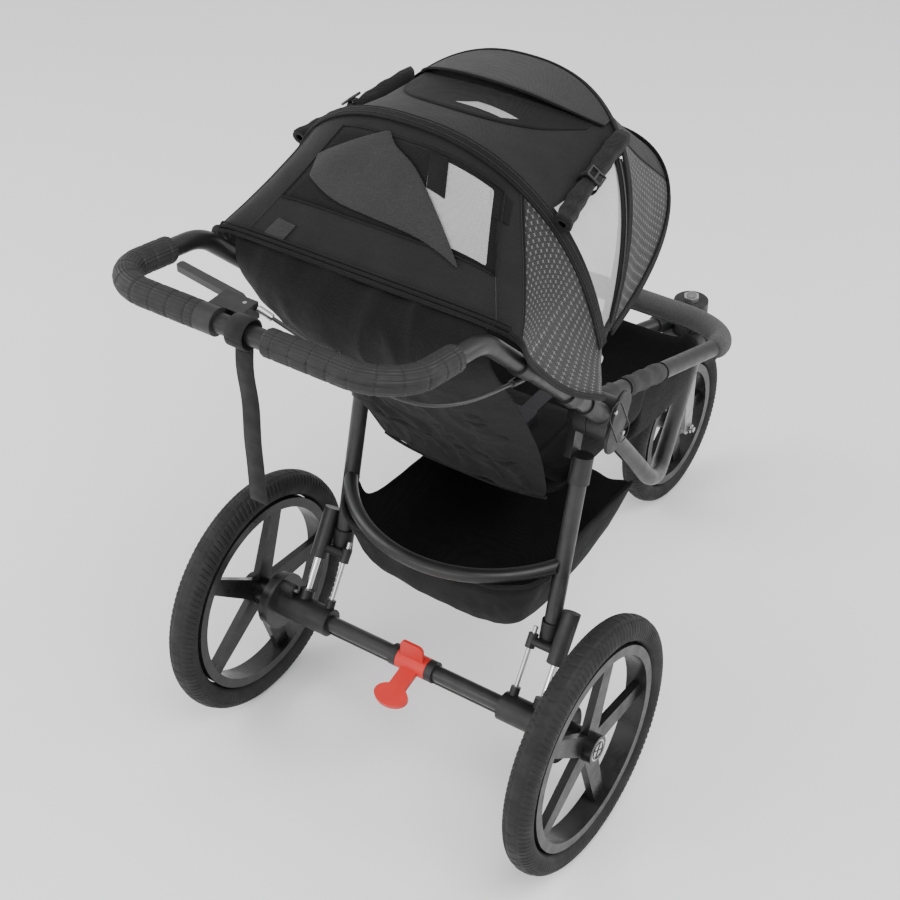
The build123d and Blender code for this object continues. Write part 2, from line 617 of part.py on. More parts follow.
def rim_and_spokes(x, y, wheel_dia, width, hub_radius):
    """Add the rim and the wide spokes of a moulded wheel to the part that is being built."""
    z = wheel_dia / 2
    rim_radius = rim_radius_of(wheel_dia, width)
    disc(x - RIM_WIDTH / 2, x + RIM_WIDTH / 2, y, z, 2 * rim_radius)
    disc(x - RIM_WIDTH / 2, x + RIM_WIDTH / 2, y, z, 2 * (rim_radius - RIM_DEPTH), Mode.SUBTRACT)
    spoke_reach = rim_radius - RIM_DEPTH / 2
    with BuildSketch(across_plane(x - SPOKE_THICK / 2, y, z)) as spokes:
        with PolarLocations(0, SPOKES, start_angle=39):
            Polygon(
                (hub_radius / 2, -SPOKE_HUB_WIDTH / 2),
                (spoke_reach, -SPOKE_RIM_WIDTH / 2),
                (spoke_reach, SPOKE_RIM_WIDTH / 2),
                (hub_radius / 2, SPOKE_HUB_WIDTH / 2),
                align=None,
            )
    extrude(spokes.sketch, amount=SPOKE_THICK)


with BuildPart() as rear_wheel:
    rim_and_spokes(WHEEL_X, REAR_AXLE_Y, REAR_WHEEL_DIA, REAR_TYRE_WIDTH, HUB_DIA / 2)
    disc(WHEEL_IN_X, HUB_OUT_X, REAR_AXLE_Y, REAR_AXLE_Z, HUB_DIA)
    disc(WHEEL_IN_X, WHEEL_IN_X + BRAKE_RING_THICK, REAR_AXLE_Y, REAR_AXLE_Z, BRAKE_RING_DIA)
    with BuildSketch(across_plane(WHEEL_IN_X, REAR_AXLE_Y, REAR_AXLE_Z)) as slots:
        with PolarLocations(BRAKE_PIN_RADIUS, BRAKE_SLOTS, start_angle=90):
            Circle(BRAKE_SLOT_DIA / 2)
    extrude(slots.sketch, amount=BRAKE_TRAVEL + 1, mode=Mode.SUBTRACT)
    disc(
        WHEEL_IN_X,
        HUB_OUT_X,
        REAR_AXLE_Y,
        REAR_AXLE_Z,
        STUB_AXLE_DIA + 4,
        Mode.SUBTRACT,
    )
    for low in (WHEEL_IN_X, HUB_OUT_X - CAP_THICK - CAP_TRAVEL - BEARING_WIDTH):
        disc(low, low + BEARING_WIDTH, REAR_AXLE_Y, REAR_AXLE_Z, BEARING_DIA, Mode.SUBTRACT)
    disc(
        HUB_OUT_X - CAP_THICK - CAP_TRAVEL,
        HUB_OUT_X,
        REAR_AXLE_Y,
        REAR_AXLE_Z,
        CAP_DIA + 2 * RUNNING_GAP,
        Mode.SUBTRACT,
    )
finish_pair(tyre(WHEEL_X, REAR_AXLE_Y, REAR_WHEEL_DIA, REAR_TYRE_WIDTH), "rear_tyre")

with BuildPart() as rear_bearings:
    for low in (WHEEL_IN_X, HUB_OUT_X - CAP_THICK - CAP_TRAVEL - BEARING_WIDTH):
        disc(low, low + BEARING_WIDTH, REAR_AXLE_Y, REAR_AXLE_Z, BEARING_DIA)
    disc(
        WHEEL_IN_X,
        HUB_OUT_X,
        REAR_AXLE_Y,
        REAR_AXLE_Z,
        STUB_AXLE_DIA + 2 * RUNNING_GAP,
        Mode.SUBTRACT,
    )
rear_wheel_set = Compound(children=[rear_wheel.part, *rear_bearings.part.solids()])
finish_pair(rear_wheel_set, "rear_wheel")

with BuildPart() as release_cap:
    disc(HUB_OUT_X - CAP_THICK, HUB_OUT_X, REAR_AXLE_Y, REAR_AXLE_Z, CAP_DIA)
finish_pair(release_cap.part, "release_cap")


# ==== Front wheel and swivelling fork ==============================================================
CROWN_LOW_Z = 312
CROWN_THICK = 14
BLADE_TOP_WIDTH = 34
BLADE_END_DIA = 26
FORK_NUT_DIA = 28
FORK_NUT_THICK = 9

with BuildPart() as front_wheel:
    rim_and_spokes(0, FRONT_AXLE_Y, FRONT_WHEEL_DIA, FRONT_TYRE_WIDTH, FRONT_HUB_DIA / 2)
    disc(-FRONT_HUB_HALF, FRONT_HUB_HALF, FRONT_AXLE_Y, FRONT_AXLE_Z, FRONT_HUB_DIA)
    disc(-FRONT_HUB_HALF, FRONT_HUB_HALF, FRONT_AXLE_Y, FRONT_AXLE_Z, FRONT_AXLE_DIA + 4, Mode.SUBTRACT)
    for low in (-FRONT_HUB_HALF, FRONT_HUB_HALF - BEARING_WIDTH):
        disc(low, low + BEARING_WIDTH, FRONT_AXLE_Y, FRONT_AXLE_Z, FRONT_BEARING_DIA, Mode.SUBTRACT)
finish(tyre(0, FRONT_AXLE_Y, FRONT_WHEEL_DIA, FRONT_TYRE_WIDTH), "front_tyre")

with BuildPart() as front_bearings:
    for low in (-FRONT_HUB_HALF, FRONT_HUB_HALF - BEARING_WIDTH):
        disc(low, low + BEARING_WIDTH, FRONT_AXLE_Y, FRONT_AXLE_Z, FRONT_BEARING_DIA)
    disc(
        -FRONT_HUB_HALF,
        FRONT_HUB_HALF,
        FRONT_AXLE_Y,
        FRONT_AXLE_Z,
        FRONT_AXLE_DIA + 2 * RUNNING_GAP,
        Mode.SUBTRACT,
    )
finish(Compound(children=[front_wheel.part, *front_bearings.part.solids()]), "front_wheel")

BLADE_IN_X = FORK_BLADE_X - FORK_BLADE_THICK / 2
BLADE_OUT_X = FORK_BLADE_X + FORK_BLADE_THICK / 2
CROWN_REAR_Y = FRONT_AXLE_Y + BLADE_TOP_WIDTH / 2
with BuildPart() as fork:
    bar((0, SWIVEL_Y, CROWN_LOW_Z), (0, SWIVEL_Y, SWIVEL_HIGH_Z + FORK_NUT_THICK + 2), SWIVEL_STEM_DIA)
    with BuildSketch(Plane.XY.offset(CROWN_LOW_Z)) as crown:
        with Locations((0, SWIVEL_Y)):
            Circle(BLADE_OUT_X - 6)
        with Locations((0, CROWN_REAR_Y - BLADE_TOP_WIDTH / 2)):
            Rectangle(2 * BLADE_OUT_X, BLADE_TOP_WIDTH)
        make_hull()
    extrude(crown.sketch, amount=CROWN_THICK)
    for x in (BLADE_IN_X, -BLADE_OUT_X):
        with BuildSketch(across_plane(x, FRONT_AXLE_Y, FRONT_AXLE_Z)) as blade:
            Circle(BLADE_END_DIA / 2)
            with Locations((0, CROWN_LOW_Z + CROWN_THICK - FRONT_AXLE_Z - 2)):
                Rectangle(BLADE_TOP_WIDTH, 4)
            make_hull()
        extrude(blade.sketch, amount=FORK_BLADE_THICK)
    disc(-BLADE_OUT_X, BLADE_OUT_X, FRONT_AXLE_Y, FRONT_AXLE_Z, FRONT_AXLE_DIA, Mode.SUBTRACT)
finish(fork.part, "front_fork")

with BuildPart() as fork_nut:
    with BuildSketch(Plane.XY.offset(SWIVEL_HIGH_Z + CLEARANCE)) as nut:
        with Locations((0, SWIVEL_Y)):
            RegularPolygon(FORK_NUT_DIA / 2, 6)
            Circle(SWIVEL_STEM_DIA / 2, mode=Mode.SUBTRACT)
    extrude(nut.sketch, amount=FORK_NUT_THICK)

AXLE_NUT_DIA = 17
AXLE_NUT_THICK = 7
with BuildPart() as front_axle:
    disc(-BLADE_OUT_X - 12, BLADE_OUT_X + 12, FRONT_AXLE_Y, FRONT_AXLE_Z, FRONT_AXLE_DIA)
    for x in (-BLADE_IN_X, FRONT_HUB_HALF + CLEARANCE):
        spacer = BLADE_IN_X - FRONT_HUB_HALF - CLEARANCE
        disc(x, x + spacer, FRONT_AXLE_Y, FRONT_AXLE_Z, FRONT_AXLE_DIA + 5)
finish(front_axle.part, "front_axle")

with BuildPart() as axle_nuts:
    for x in (-BLADE_OUT_X - AXLE_NUT_THICK, BLADE_OUT_X):
        with BuildSketch(across_plane(x, FRONT_AXLE_Y, FRONT_AXLE_Z)) as hexagon:
            RegularPolygon(AXLE_NUT_DIA / 2, 6)
            Circle(FRONT_AXLE_DIA / 2, mode=Mode.SUBTRACT)
        extrude(hexagon.sketch, amount=AXLE_NUT_THICK)
finish(Compound(children=[fork_nut.part, *axle_nuts.part.solids()]), "fork_nuts")


# ==== Hand brake lever on the handlebar, its cable, and the wrist strap ==============================
LEVER_BODY_IN_X = 14
LEVER_BODY_REACH = 46
LEVER_BODY_HALF_HEIGHT = 11
LEVER_THICK = 9
LEVER_SLOT_GAP = 0.5
LEVER_PIN_DIA = 5
LEVER_PIN_X = 26
LEVER_PIN_Y = 585
LEVER_LENGTH = 128
ADJUSTER_DIA = 9
CABLE_DIA = 5
STRAP_WIDTH = 26
STRAP_THICK = 2
STRAP_END_Z = 725

with BuildPart() as lever_clamp:
    disc(LEVER_CLAMP_IN_X, LEVER_CLAMP_OUT_X, HANDLE_END_Y, HANDLE_END_Z, GRIP_DIA)
    body_length = LEVER_CLAMP_OUT_X - LEVER_BODY_IN_X
    with Locations((LEVER_BODY_IN_X, HANDLE_END_Y - LEVER_BODY_REACH, HANDLE_END_Z)):
        Box(
            body_length,
            LEVER_BODY_REACH - HANDLE_TUBE_DIA / 2 - 2,
            2 * LEVER_BODY_HALF_HEIGHT,
            align=(Align.MIN, Align.MIN, Align.CENTER),
        )
    with Locations((LEVER_BODY_IN_X + 4, HANDLE_END_Y - LEVER_BODY_REACH, HANDLE_END_Z)):
        Box(
            body_length,
            LEVER_BODY_REACH - HANDLE_TUBE_DIA / 2 - 10,
            LEVER_THICK + 2 * LEVER_SLOT_GAP,
            align=(Align.MIN, Align.MIN, Align.CENTER),
            mode=Mode.SUBTRACT,
        )
    disc(LEVER_BODY_IN_X, LEVER_CLAMP_OUT_X, HANDLE_END_Y, HANDLE_END_Z, HANDLE_TUBE_DIA, Mode.SUBTRACT)
    disc(LEVER_BODY_IN_X, LEVER_CLAMP_IN_X, HANDLE_END_Y, HANDLE_END_Z, GRIP_DIA + 1, Mode.SUBTRACT)
    bar(
        (LEVER_PIN_X, LEVER_PIN_Y, HANDLE_END_Z - LEVER_BODY_HALF_HEIGHT),
        (LEVER_PIN_X, LEVER_PIN_Y, HANDLE_END_Z + LEVER_BODY_HALF_HEIGHT),
        LEVER_PIN_DIA,
        Mode.SUBTRACT,
    )
finish(lever_clamp.part, "brake_lever_clamp")

with BuildPart() as lever_pin:
    bar(
        (LEVER_PIN_X, LEVER_PIN_Y, HANDLE_END_Z - LEVER_BODY_HALF_HEIGHT),
        (LEVER_PIN_X, LEVER_PIN_Y, HANDLE_END_Z + LEVER_BODY_HALF_HEIGHT),
        LEVER_PIN_DIA,
    )

with BuildPart() as lever:
    with BuildSketch(Plane.XY.offset(HANDLE_END_Z - LEVER_THICK / 2)) as blade_outline:
        with BuildLine():
            FilletPolyline(
                (LEVER_PIN_X - 7, LEVER_PIN_Y - 7),
                (LEVER_PIN_X + 20, LEVER_PIN_Y - 22),
                (LEVER_PIN_X + LEVER_LENGTH, LEVER_PIN_Y - 38),
                (LEVER_PIN_X + LEVER_LENGTH, LEVER_PIN_Y - 26),
                (LEVER_PIN_X + 24, LEVER_PIN_Y - 9),
                (LEVER_PIN_X + 7, LEVER_PIN_Y + 7),
                (LEVER_PIN_X - 7, LEVER_PIN_Y + 7),
                radius=4,
                close=True,
            )
        make_face()
        with Locations((LEVER_PIN_X, LEVER_PIN_Y)):
            Circle(LEVER_PIN_DIA / 2 + RUNNING_GAP, mode=Mode.SUBTRACT)
    extrude(blade_outline.sketch, amount=LEVER_THICK)
finish(lever.part, "brake_lever")

CABLE_ROUTE = [
    Vector(-7, 577, 970),
    Vector(-55, 571, 950),
    Vector(-104, 567, 930),
    Vector(-152, 560, 909),
    Vector(-188, 531, 889),
    Vector(-206, 485, 872),
    Vector(-212, 432, 857),
    Vector(-211, 385, 843),
]
CABLE_RADII = []
for before, corner, after in zip(CABLE_ROUTE, CABLE_ROUTE[1:], CABLE_ROUTE[2:]):
    turn = (corner - before).get_angle(after - corner)
    shorter = min((corner - before).length, (after - corner).length)
    CABLE_RADII.append(0.45 * shorter / tan(radians(turn / 2)))
print("cable radii", [round(r) for r in CABLE_RADII])
finish(bent_tube(CABLE_ROUTE, CABLE_RADII, CABLE_DIA, 0), "brake_cable")
print("cable length", round(sum((b - a).length for a, b in zip(CABLE_ROUTE, CABLE_ROUTE[1:]))))

with BuildPart() as adjuster:
    exit_line = (CABLE_ROUTE[0] - CABLE_ROUTE[1]).normalized()
    bar(CABLE_ROUTE[0], CABLE_ROUTE[0] + exit_line * 20, ADJUSTER_DIA)
    with Locations((LEVER_BODY_IN_X, HANDLE_END_Y - LEVER_BODY_REACH, HANDLE_END_Z)):
        Box(60, 60, 60, align=(Align.MIN, Align.CENTER, Align.CENTER), mode=Mode.SUBTRACT)
finish(Compound(children=[adjuster.part, lever_pin.part]), "lever_pin_and_adjuster")

CABLE_END = CABLE_ROUTE[-1]
CLIP_ON_TUBE = from_hinge(
    Vector(0, CABLE_END.Y - HINGE_Y, CABLE_END.Z - HINGE_Z).length, HANDLE_ANGLE, -HANDLE_X
)
with BuildPart() as cable_guide:
    bar(
        towards(CLIP_ON_TUBE, across(HANDLE_START), 22),
        towards(CLIP_ON_TUBE, across(HANDLE_START), -8),
        HANDLE_TUBE_DIA + 6,
    )
    bar(CABLE_END, towards(CABLE_END, CABLE_ROUTE[-2], -26), 2 * CABLE_DIA)
    bar(across(HANDLE_START), across(HANDLE_BEND), HANDLE_TUBE_DIA, Mode.SUBTRACT)
finish(cable_guide.part, "cable_guide")

with BuildPart() as wrist_strap:
    disc(-STRAP_WIDTH / 2, STRAP_WIDTH / 2, HANDLE_END_Y, HANDLE_END_Z, GRIP_DIA + 2 * STRAP_THICK)
    with Locations((0, HANDLE_END_Y, STRAP_END_Z)):
        Box(
            STRAP_WIDTH,
            2 * STRAP_THICK,
            HANDLE_END_Z - STRAP_END_Z,
            align=(Align.CENTER, Align.CENTER, Align.MIN),
        )
    disc(-STRAP_WIDTH / 2, STRAP_WIDTH / 2, HANDLE_END_Y, HANDLE_END_Z, GRIP_DIA, Mode.SUBTRACT)
finish(wrist_strap.part, "wrist_strap")


# ==== Canopy: side mounts on the handle tubes, three hinged bows and the fabric between them ===========
MOUNT_IN_X = 197
MOUNT_OUT_X = 203
MOUNT_WIDTH = 20
MOUNT_CLAMP_LENGTH = 30
BOW_EYE_DIA = 18
ARCH_STEPS = 26
PIVOT_FROM_HINGE = Vector(0, CANOPY_PIVOT_Y - HINGE_Y, CANOPY_PIVOT_Z - HINGE_Z)
HANDLE_LINE = Vector(0, cos(radians(HANDLE_ANGLE)), sin(radians(HANDLE_ANGLE)))
MOUNT_ALONG = PIVOT_FROM_HINGE.dot(HANDLE_LINE)


def arch_plane(angle, pivot_y=CANOPY_PIVOT_Y, pivot_z=CANOPY_PIVOT_Z):
    """The plane of an arch: its own X is across the frame and its own Y points out to the crown."""
    turn = radians(angle)
    return Plane(origin=(0, pivot_y, pivot_z), x_dir=(1, 0, 0), z_dir=(0, -sin(turn), -cos(turn)))


def arch_points(half_width, height, start=0.0, roundness=ARCH_ROUNDNESS):
    """Points along a superellipse arch that stands on X, from one side over the crown to the other."""
    power = 2 / roundness
    lowest = asin((start / height) ** (1 / power)) if start else 0.0
    points = []
    for step in range(ARCH_STEPS + 1):
        turn = lowest + (pi - 2 * lowest) * step / ARCH_STEPS
        side = 1 if cos(turn) >= 0 else -1
        points.append((side * half_width * abs(cos(turn)) ** power, height * abs(sin(turn)) ** power))
    return points


def arch_band(plane, half_width, height, thick, start=0.0, roundness=ARCH_ROUNDNESS):
    """A flat arch-shaped face of even thickness, measured inwards from the given outline."""
    with BuildSketch(plane) as band:
        outer = arch_points(half_width, height, start, roundness)
        inner = arch_points(half_width - thick, height - thick, start, roundness)
        Polygon(*outer, *reversed(inner), align=None)
    return band.sketch


def bow(arch, name):
    """One canopy bow: a flat strip bent into an arch, with an eye at each end."""
    angle, half_width, height = arch
    outer_x = half_width - BOW_INSET + BOW_THICK / 2
    outer_height = height - BOW_INSET + BOW_THICK / 2
    with BuildPart() as strip:
        band = arch_band(arch_plane(angle), outer_x, outer_height, BOW_THICK)
        extrude(band, amount=BOW_DEPTH / 2, both=True)
        for x in (outer_x - BOW_THICK, -outer_x):
            disc(x, x + BOW_THICK, CANOPY_PIVOT_Y, CANOPY_PIVOT_Z, BOW_EYE_DIA)
        disc(
            -outer_x,
            outer_x,
            CANOPY_PIVOT_Y,
            CANOPY_PIVOT_Z,
            CANOPY_PIN_DIA + 2 * RUNNING_GAP,
            Mode.SUBTRACT,
        )
    finish(strip.part, name)


def fabric_between(first, second, name):
    """Stretched fabric between two arch-shaped edges."""
    with BuildPart() as panel:
        loft([first, second], ruled=True)
    finish(panel.part, name)


bow(REAR_ARCH, "canopy_rear_bow")
bow(MID_ARCH, "canopy_mid_bow")
bow(FRONT_ARCH, "canopy_front_bow")

fabric_edges = [
    arch_band(arch_plane(angle), half_width, height, FABRIC_THICK, FABRIC_START)
    for angle, half_width, height in (FRONT_ARCH, MID_ARCH, REAR_ARCH)
]
hem_plane = arch_plane(HEM_ARCH[0], HEM_Y, HEM_Z)
fabric_edges.append(
    arch_band(hem_plane, HEM_ARCH[1], HEM_ARCH[2], FABRIC_THICK, roundness=HEM_ROUNDNESS)
)
PANEL_NAMES = ["canopy_visor", "canopy_top", "canopy_rear_panel"]
for first_edge, second_edge, panel_name in zip(fabric_edges, fabric_edges[1:], PANEL_NAMES):
    fabric_between(first_edge, second_edge, panel_name)

with BuildPart() as canopy_mount:
    bar(
        from_hinge(MOUNT_ALONG - MOUNT_CLAMP_LENGTH / 2, HANDLE_ANGLE, HANDLE_X),
        from_hinge(MOUNT_ALONG + MOUNT_CLAMP_LENGTH / 2, HANDLE_ANGLE, HANDLE_X),
        HANDLE_TUBE_DIA + 2 * SOCKET_WALL,
    )
    foot = from_hinge(MOUNT_ALONG, HANDLE_ANGLE)
    with BuildSketch(across_plane(MOUNT_IN_X, 0, 0)) as arm:
        for y, z in ((foot.Y, foot.Z), (CANOPY_PIVOT_Y, CANOPY_PIVOT_Z)):
            with Locations((y, z)):
                Circle(MOUNT_WIDTH / 2)
        make_hull()
    extrude(arm.sketch, amount=MOUNT_OUT_X - MOUNT_IN_X)
    bar(HANDLE_START, HANDLE_BEND, HANDLE_TUBE_DIA, Mode.SUBTRACT)
    disc(MOUNT_IN_X, MOUNT_OUT_X, CANOPY_PIVOT_Y, CANOPY_PIVOT_Z, CANOPY_PIN_DIA, Mode.SUBTRACT)
finish_both(canopy_mount.part, "canopy_mounts")

with BuildPart() as canopy_pin:
    pin_end = REAR_ARCH[1] - BOW_INSET + BOW_THICK / 2 + 2
    disc(MOUNT_IN_X, pin_end, CANOPY_PIVOT_Y, CANOPY_PIVOT_Z, CANOPY_PIN_DIA)
    disc(pin_end - 1.5, pin_end + 1, CANOPY_PIVOT_Y, CANOPY_PIVOT_Z, 2 * CANOPY_PIN_DIA)
finish_both(canopy_pin.part, "canopy_pins")


# ==== Seat: fabric seat and footwell hung in the frame, cushion, backrest and harness ==================
SEAT_SIDE_TOP = 34
FOOT_SIDE_TOP = 22
CUSHION_LOW_Z = SEAT_Z + FABRIC_WALL + 9
BUCKLE_SIZE = (46, 40, 14)
PAD_DIA = 42
SLEEVE_DIA = 29
HARNESS_X = 52
HARNESS_WIDTH = 26
HARNESS_THICK = 3


def trough(x_half, floor_points, top_points, wall):
    """Open fabric trough: a folded floor with upright sides, given as outlines in the Y-Z plane."""
    with BuildPart() as made:
        with BuildSketch(across_plane(-x_half, 0, 0)) as side:
            Polygon(*floor_points, *reversed(top_points), align=None)
        extrude(side.sketch, amount=2 * x_half)
        raised = [(y, z + wall) for y, z in floor_points]
        lid = [(y, z + 400) for y, z in top_points]
        with BuildSketch(across_plane(-x_half + wall, 0, 0)) as inside:
            Polygon(*raised, *reversed(lid), align=None)
        extrude(inside.sketch, amount=2 * (x_half - wall), mode=Mode.SUBTRACT)
    return made.part


seat_floor = [(SEAT_FRONT_Y, SEAT_Z + 8), (SEAT_REAR_Y, SEAT_Z)]
seat_top = [(SEAT_FRONT_Y, ring_z(SEAT_FRONT_Y) - SEAT_SIDE_TOP), (SEAT_REAR_Y, HINGE_Z - SEAT_SIDE_TOP)]
finish(trough(SEAT_HALF_WIDTH, seat_floor, seat_top, FABRIC_WALL), "seat_sling")

with BuildPart() as footwell:
    front_y = FOOTWELL_FRONT_Y
    back_y = SEAT_FRONT_Y - CLEARANCE
    with BuildSketch(across_plane(-SEAT_HALF_WIDTH, 0, 0)) as well_side:
        Polygon(
            (front_y, FOOTWELL_Z),
            (back_y, FOOTWELL_Z),
            (back_y, ring_z(back_y) - FOOT_SIDE_TOP),
            (front_y, ring_z(front_y) - FOOT_SIDE_TOP),
            align=None,
        )
    extrude(well_side.sketch, amount=2 * SEAT_HALF_WIDTH)
    with BuildSketch(across_plane(-SEAT_HALF_WIDTH + FABRIC_WALL, 0, 0)) as well_inside:
        Polygon(
            (front_y + FABRIC_WALL, FOOTWELL_Z + FABRIC_WALL),
            (back_y - FABRIC_WALL, FOOTWELL_Z + FABRIC_WALL),
            (back_y - FABRIC_WALL, 2 * HINGE_Z),
            (front_y + FABRIC_WALL, 2 * HINGE_Z),
            align=None,
        )
    extrude(well_inside.sketch, amount=2 * (SEAT_HALF_WIDTH - FABRIC_WALL), mode=Mode.SUBTRACT)
    with Locations((0, back_y, SEAT_Z + 2 * CUSHION_THICK)):
        Box(
            2 * (SEAT_HALF_WIDTH - FABRIC_WALL),
            4 * FABRIC_WALL,
            400,
            align=(Align.CENTER, Align.CENTER, Align.MIN),
            mode=Mode.SUBTRACT,
        )
finish(footwell.part, "footwell")

with BuildPart() as cushion:
    with Locations((0, (SEAT_FRONT_Y + SEAT_REAR_Y) / 2, CUSHION_LOW_Z)):
        Box(
            2 * (SEAT_HALF_WIDTH - FABRIC_WALL) - 4,
            SEAT_REAR_Y - SEAT_FRONT_Y - 8,
            CUSHION_THICK,
            align=(Align.CENTER, Align.CENTER, Align.MIN),
        )
    fillet(cushion.edges(), radius=6)
finish(cushion.part, "seat_cushion")

BACKREST_LINE = Vector(0, BACKREST_TOP_Y - CREASE_Y, BACKREST_TOP_Z - CREASE_Z)
BACKREST_NORMAL = Vector(0, -BACKREST_LINE.Z, BACKREST_LINE.Y).normalized()
CREASE_GAP = 18
CREASE_WEB = 4
CREASE_ROD_DIA = 10
CREASE_HALF_WIDTH = 112
with BuildPart() as backrest:
    back_plane = Plane(origin=(0, CREASE_Y, CREASE_Z), x_dir=(1, 0, 0), z_dir=BACKREST_NORMAL)
    back_length = BACKREST_LINE.length - CREASE_GAP
    with BuildSketch(back_plane.offset(-BACKREST_THICK / 2)) as back_outline:
        with Locations((0, CREASE_GAP + back_length / 2)):
            RectangleRounded(2 * BACKREST_HALF_WIDTH, back_length, 30)
    extrude(back_outline.sketch, amount=BACKREST_THICK)
    fillet(backrest.faces().filter_by(GeomType.PLANE).sort_by(Axis.Y)[0].edges(), radius=4)
    with BuildSketch(back_plane.offset(-CREASE_WEB / 2)) as crease_web:
        with Locations((0, CREASE_GAP / 2 + 1)):
            Rectangle(2 * CREASE_HALF_WIDTH, CREASE_GAP + 2)
    extrude(crease_web.sketch, amount=CREASE_WEB)
    disc(-CREASE_HALF_WIDTH, CREASE_HALF_WIDTH, CREASE_Y, CREASE_Z, CREASE_ROD_DIA)
finish(backrest.part, "backrest")

with BuildPart() as harness:
    with BuildSketch(back_plane.offset(BACKREST_THICK / 2)) as straps:
        with Locations((HARNESS_X, back_length * 0.6), (-HARNESS_X, back_length * 0.6)):
            RectangleRounded(HARNESS_WIDTH, back_length / 2, 5)
    extrude(straps.sketch, amount=HARNESS_THICK)
finish(harness.part, "shoulder_straps")

CROTCH_STRAP_LENGTH = 62
CROTCH_STRAP_Y = -52
with BuildPart() as crotch_strap:
    with Locations((0, CROTCH_STRAP_Y, CUSHION_LOW_Z + CUSHION_THICK)):
        Box(
            HARNESS_WIDTH,
            CROTCH_STRAP_LENGTH,
            HARNESS_THICK,
            align=(Align.CENTER, Align.MIN, Align.MIN),
        )

with BuildPart() as buckle:
    with Locations((0, CROTCH_STRAP_Y + CROTCH_STRAP_LENGTH, CUSHION_LOW_Z + CUSHION_THICK)):
        Box(*BUCKLE_SIZE, align=(Align.CENTER, Align.MIN, Align.MIN))
    fillet(buckle.edges(), radius=3)
finish(Compound(children=[buckle.part, crotch_strap.part]), "harness_buckle")

PAD_START_Y = -236
with BuildPart() as ring_pad:
    pad_start = towards(RING_CORNER, RING_START, (PAD_START_Y - RING_FRONT_Y) / cos(radians(RING_SLOPE)))
    with BuildLine() as pad_route:
        FilletPolyline(
            pad_start, RING_CORNER, across(RING_CORNER), across(pad_start), radius=RING_CORNER_RADIUS
        )
    with BuildSketch(Plane(origin=pad_route.line @ 0, z_dir=pad_route.line % 0)):
        Circle(PAD_DIA / 2)
        Circle(RING_TUBE_DIA / 2, mode=Mode.SUBTRACT)
    sweep()
finish(ring_pad.part, "ring_pad")

SLEEVE_FRONT_Y = -70
SLEEVE_REAR_Y = 44
with BuildPart() as ring_sleeve:
    ring_slope = cos(radians(RING_SLOPE))
    sleeve_start = towards(RING_START, RING_CORNER, (RING_START.Y - SLEEVE_REAR_Y) / ring_slope)
    sleeve_end = towards(RING_START, RING_CORNER, (RING_START.Y - SLEEVE_FRONT_Y) / ring_slope)
    bar(sleeve_start, sleeve_end, SLEEVE_DIA)
    bar(RING_START, RING_CORNER, RING_TUBE_DIA, Mode.SUBTRACT)
finish_both(ring_sleeve.part, "ring_sleeves")


# ==== Storage basket: tub under the seat, and the rear panel that hangs from the crossbar ==============
BASKET_REAR_WALL_Z = 260
BASKET_FRONT_LOW_Z = 330
BASKET_FLOOR_START_Y = BASKET_FRONT_Y + 90
BASKET_RIM_DROP = 30
BASKET_REAR_DROP = 22
BASKET_DROP_Y = 130
PANEL_GAP = 4
PANEL_LOW_Z = 270
with BuildPart() as basket:
    with BuildSketch(across_plane(-BASKET_HALF_WIDTH, 0, 0)) as tub_side:
        Polygon(
            (BASKET_FRONT_Y, BASKET_FRONT_LOW_Z),
            (BASKET_FLOOR_START_Y, BASKET_FLOOR_Z),
            (BASKET_REAR_Y, BASKET_FLOOR_Z),
            (BASKET_REAR_Y, BASKET_RIM_Z - BASKET_REAR_DROP),
            (BASKET_DROP_Y, BASKET_RIM_Z - BASKET_REAR_DROP),
            (BASKET_DROP_Y - BASKET_RIM_DROP, BASKET_RIM_Z),
            (BASKET_FRONT_Y, BASKET_RIM_Z - BASKET_RIM_DROP),
            align=None,
        )
    extrude(tub_side.sketch, amount=2 * BASKET_HALF_WIDTH)
    with BuildSketch(across_plane(-BASKET_HALF_WIDTH + FABRIC_WALL, 0, 0)) as tub_inside:
        Polygon(
            (BASKET_FRONT_Y + FABRIC_WALL, BASKET_FRONT_LOW_Z + 2),
            (BASKET_FLOOR_START_Y + 2, BASKET_FLOOR_Z + FABRIC_WALL),
            (BASKET_REAR_Y - FABRIC_WALL, BASKET_FLOOR_Z + FABRIC_WALL),
            (BASKET_REAR_Y - FABRIC_WALL, 2 * BASKET_RIM_Z),
            (BASKET_FRONT_Y + FABRIC_WALL, 2 * BASKET_RIM_Z),
            align=None,
        )
    extrude(tub_inside.sketch, amount=2 * (BASKET_HALF_WIDTH - FABRIC_WALL), mode=Mode.SUBTRACT)
    with Locations((0, BASKET_REAR_Y, BASKET_REAR_WALL_Z)):
        Box(
            2 * (BASKET_HALF_WIDTH - FABRIC_WALL),
            4 * FABRIC_WALL,
            400,
            align=(Align.CENTER, Align.CENTER, Align.MIN),
            mode=Mode.SUBTRACT,
        )
finish(basket.part, "basket_tub")

with BuildPart() as basket_panel:
    with Locations((0, BASKET_REAR_Y + PANEL_GAP, PANEL_LOW_Z)):
        Box(
            2 * (BASKET_HALF_WIDTH - FABRIC_WALL - PANEL_GAP),
            FABRIC_WALL,
            BASKET_RIM_Z - PANEL_LOW_Z,
            align=(Align.CENTER, Align.MIN, Align.MIN),
        )
finish(basket_panel.part, "basket_rear_panel")
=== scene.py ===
"""Jogging stroller: detailed surfaces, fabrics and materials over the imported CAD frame.

Metres, +X left, -Y forward.
"""
import math
from math import asin, cos, pi, radians, sin

import bmesh
import bpy
from mathutils import Matrix, Vector, noise


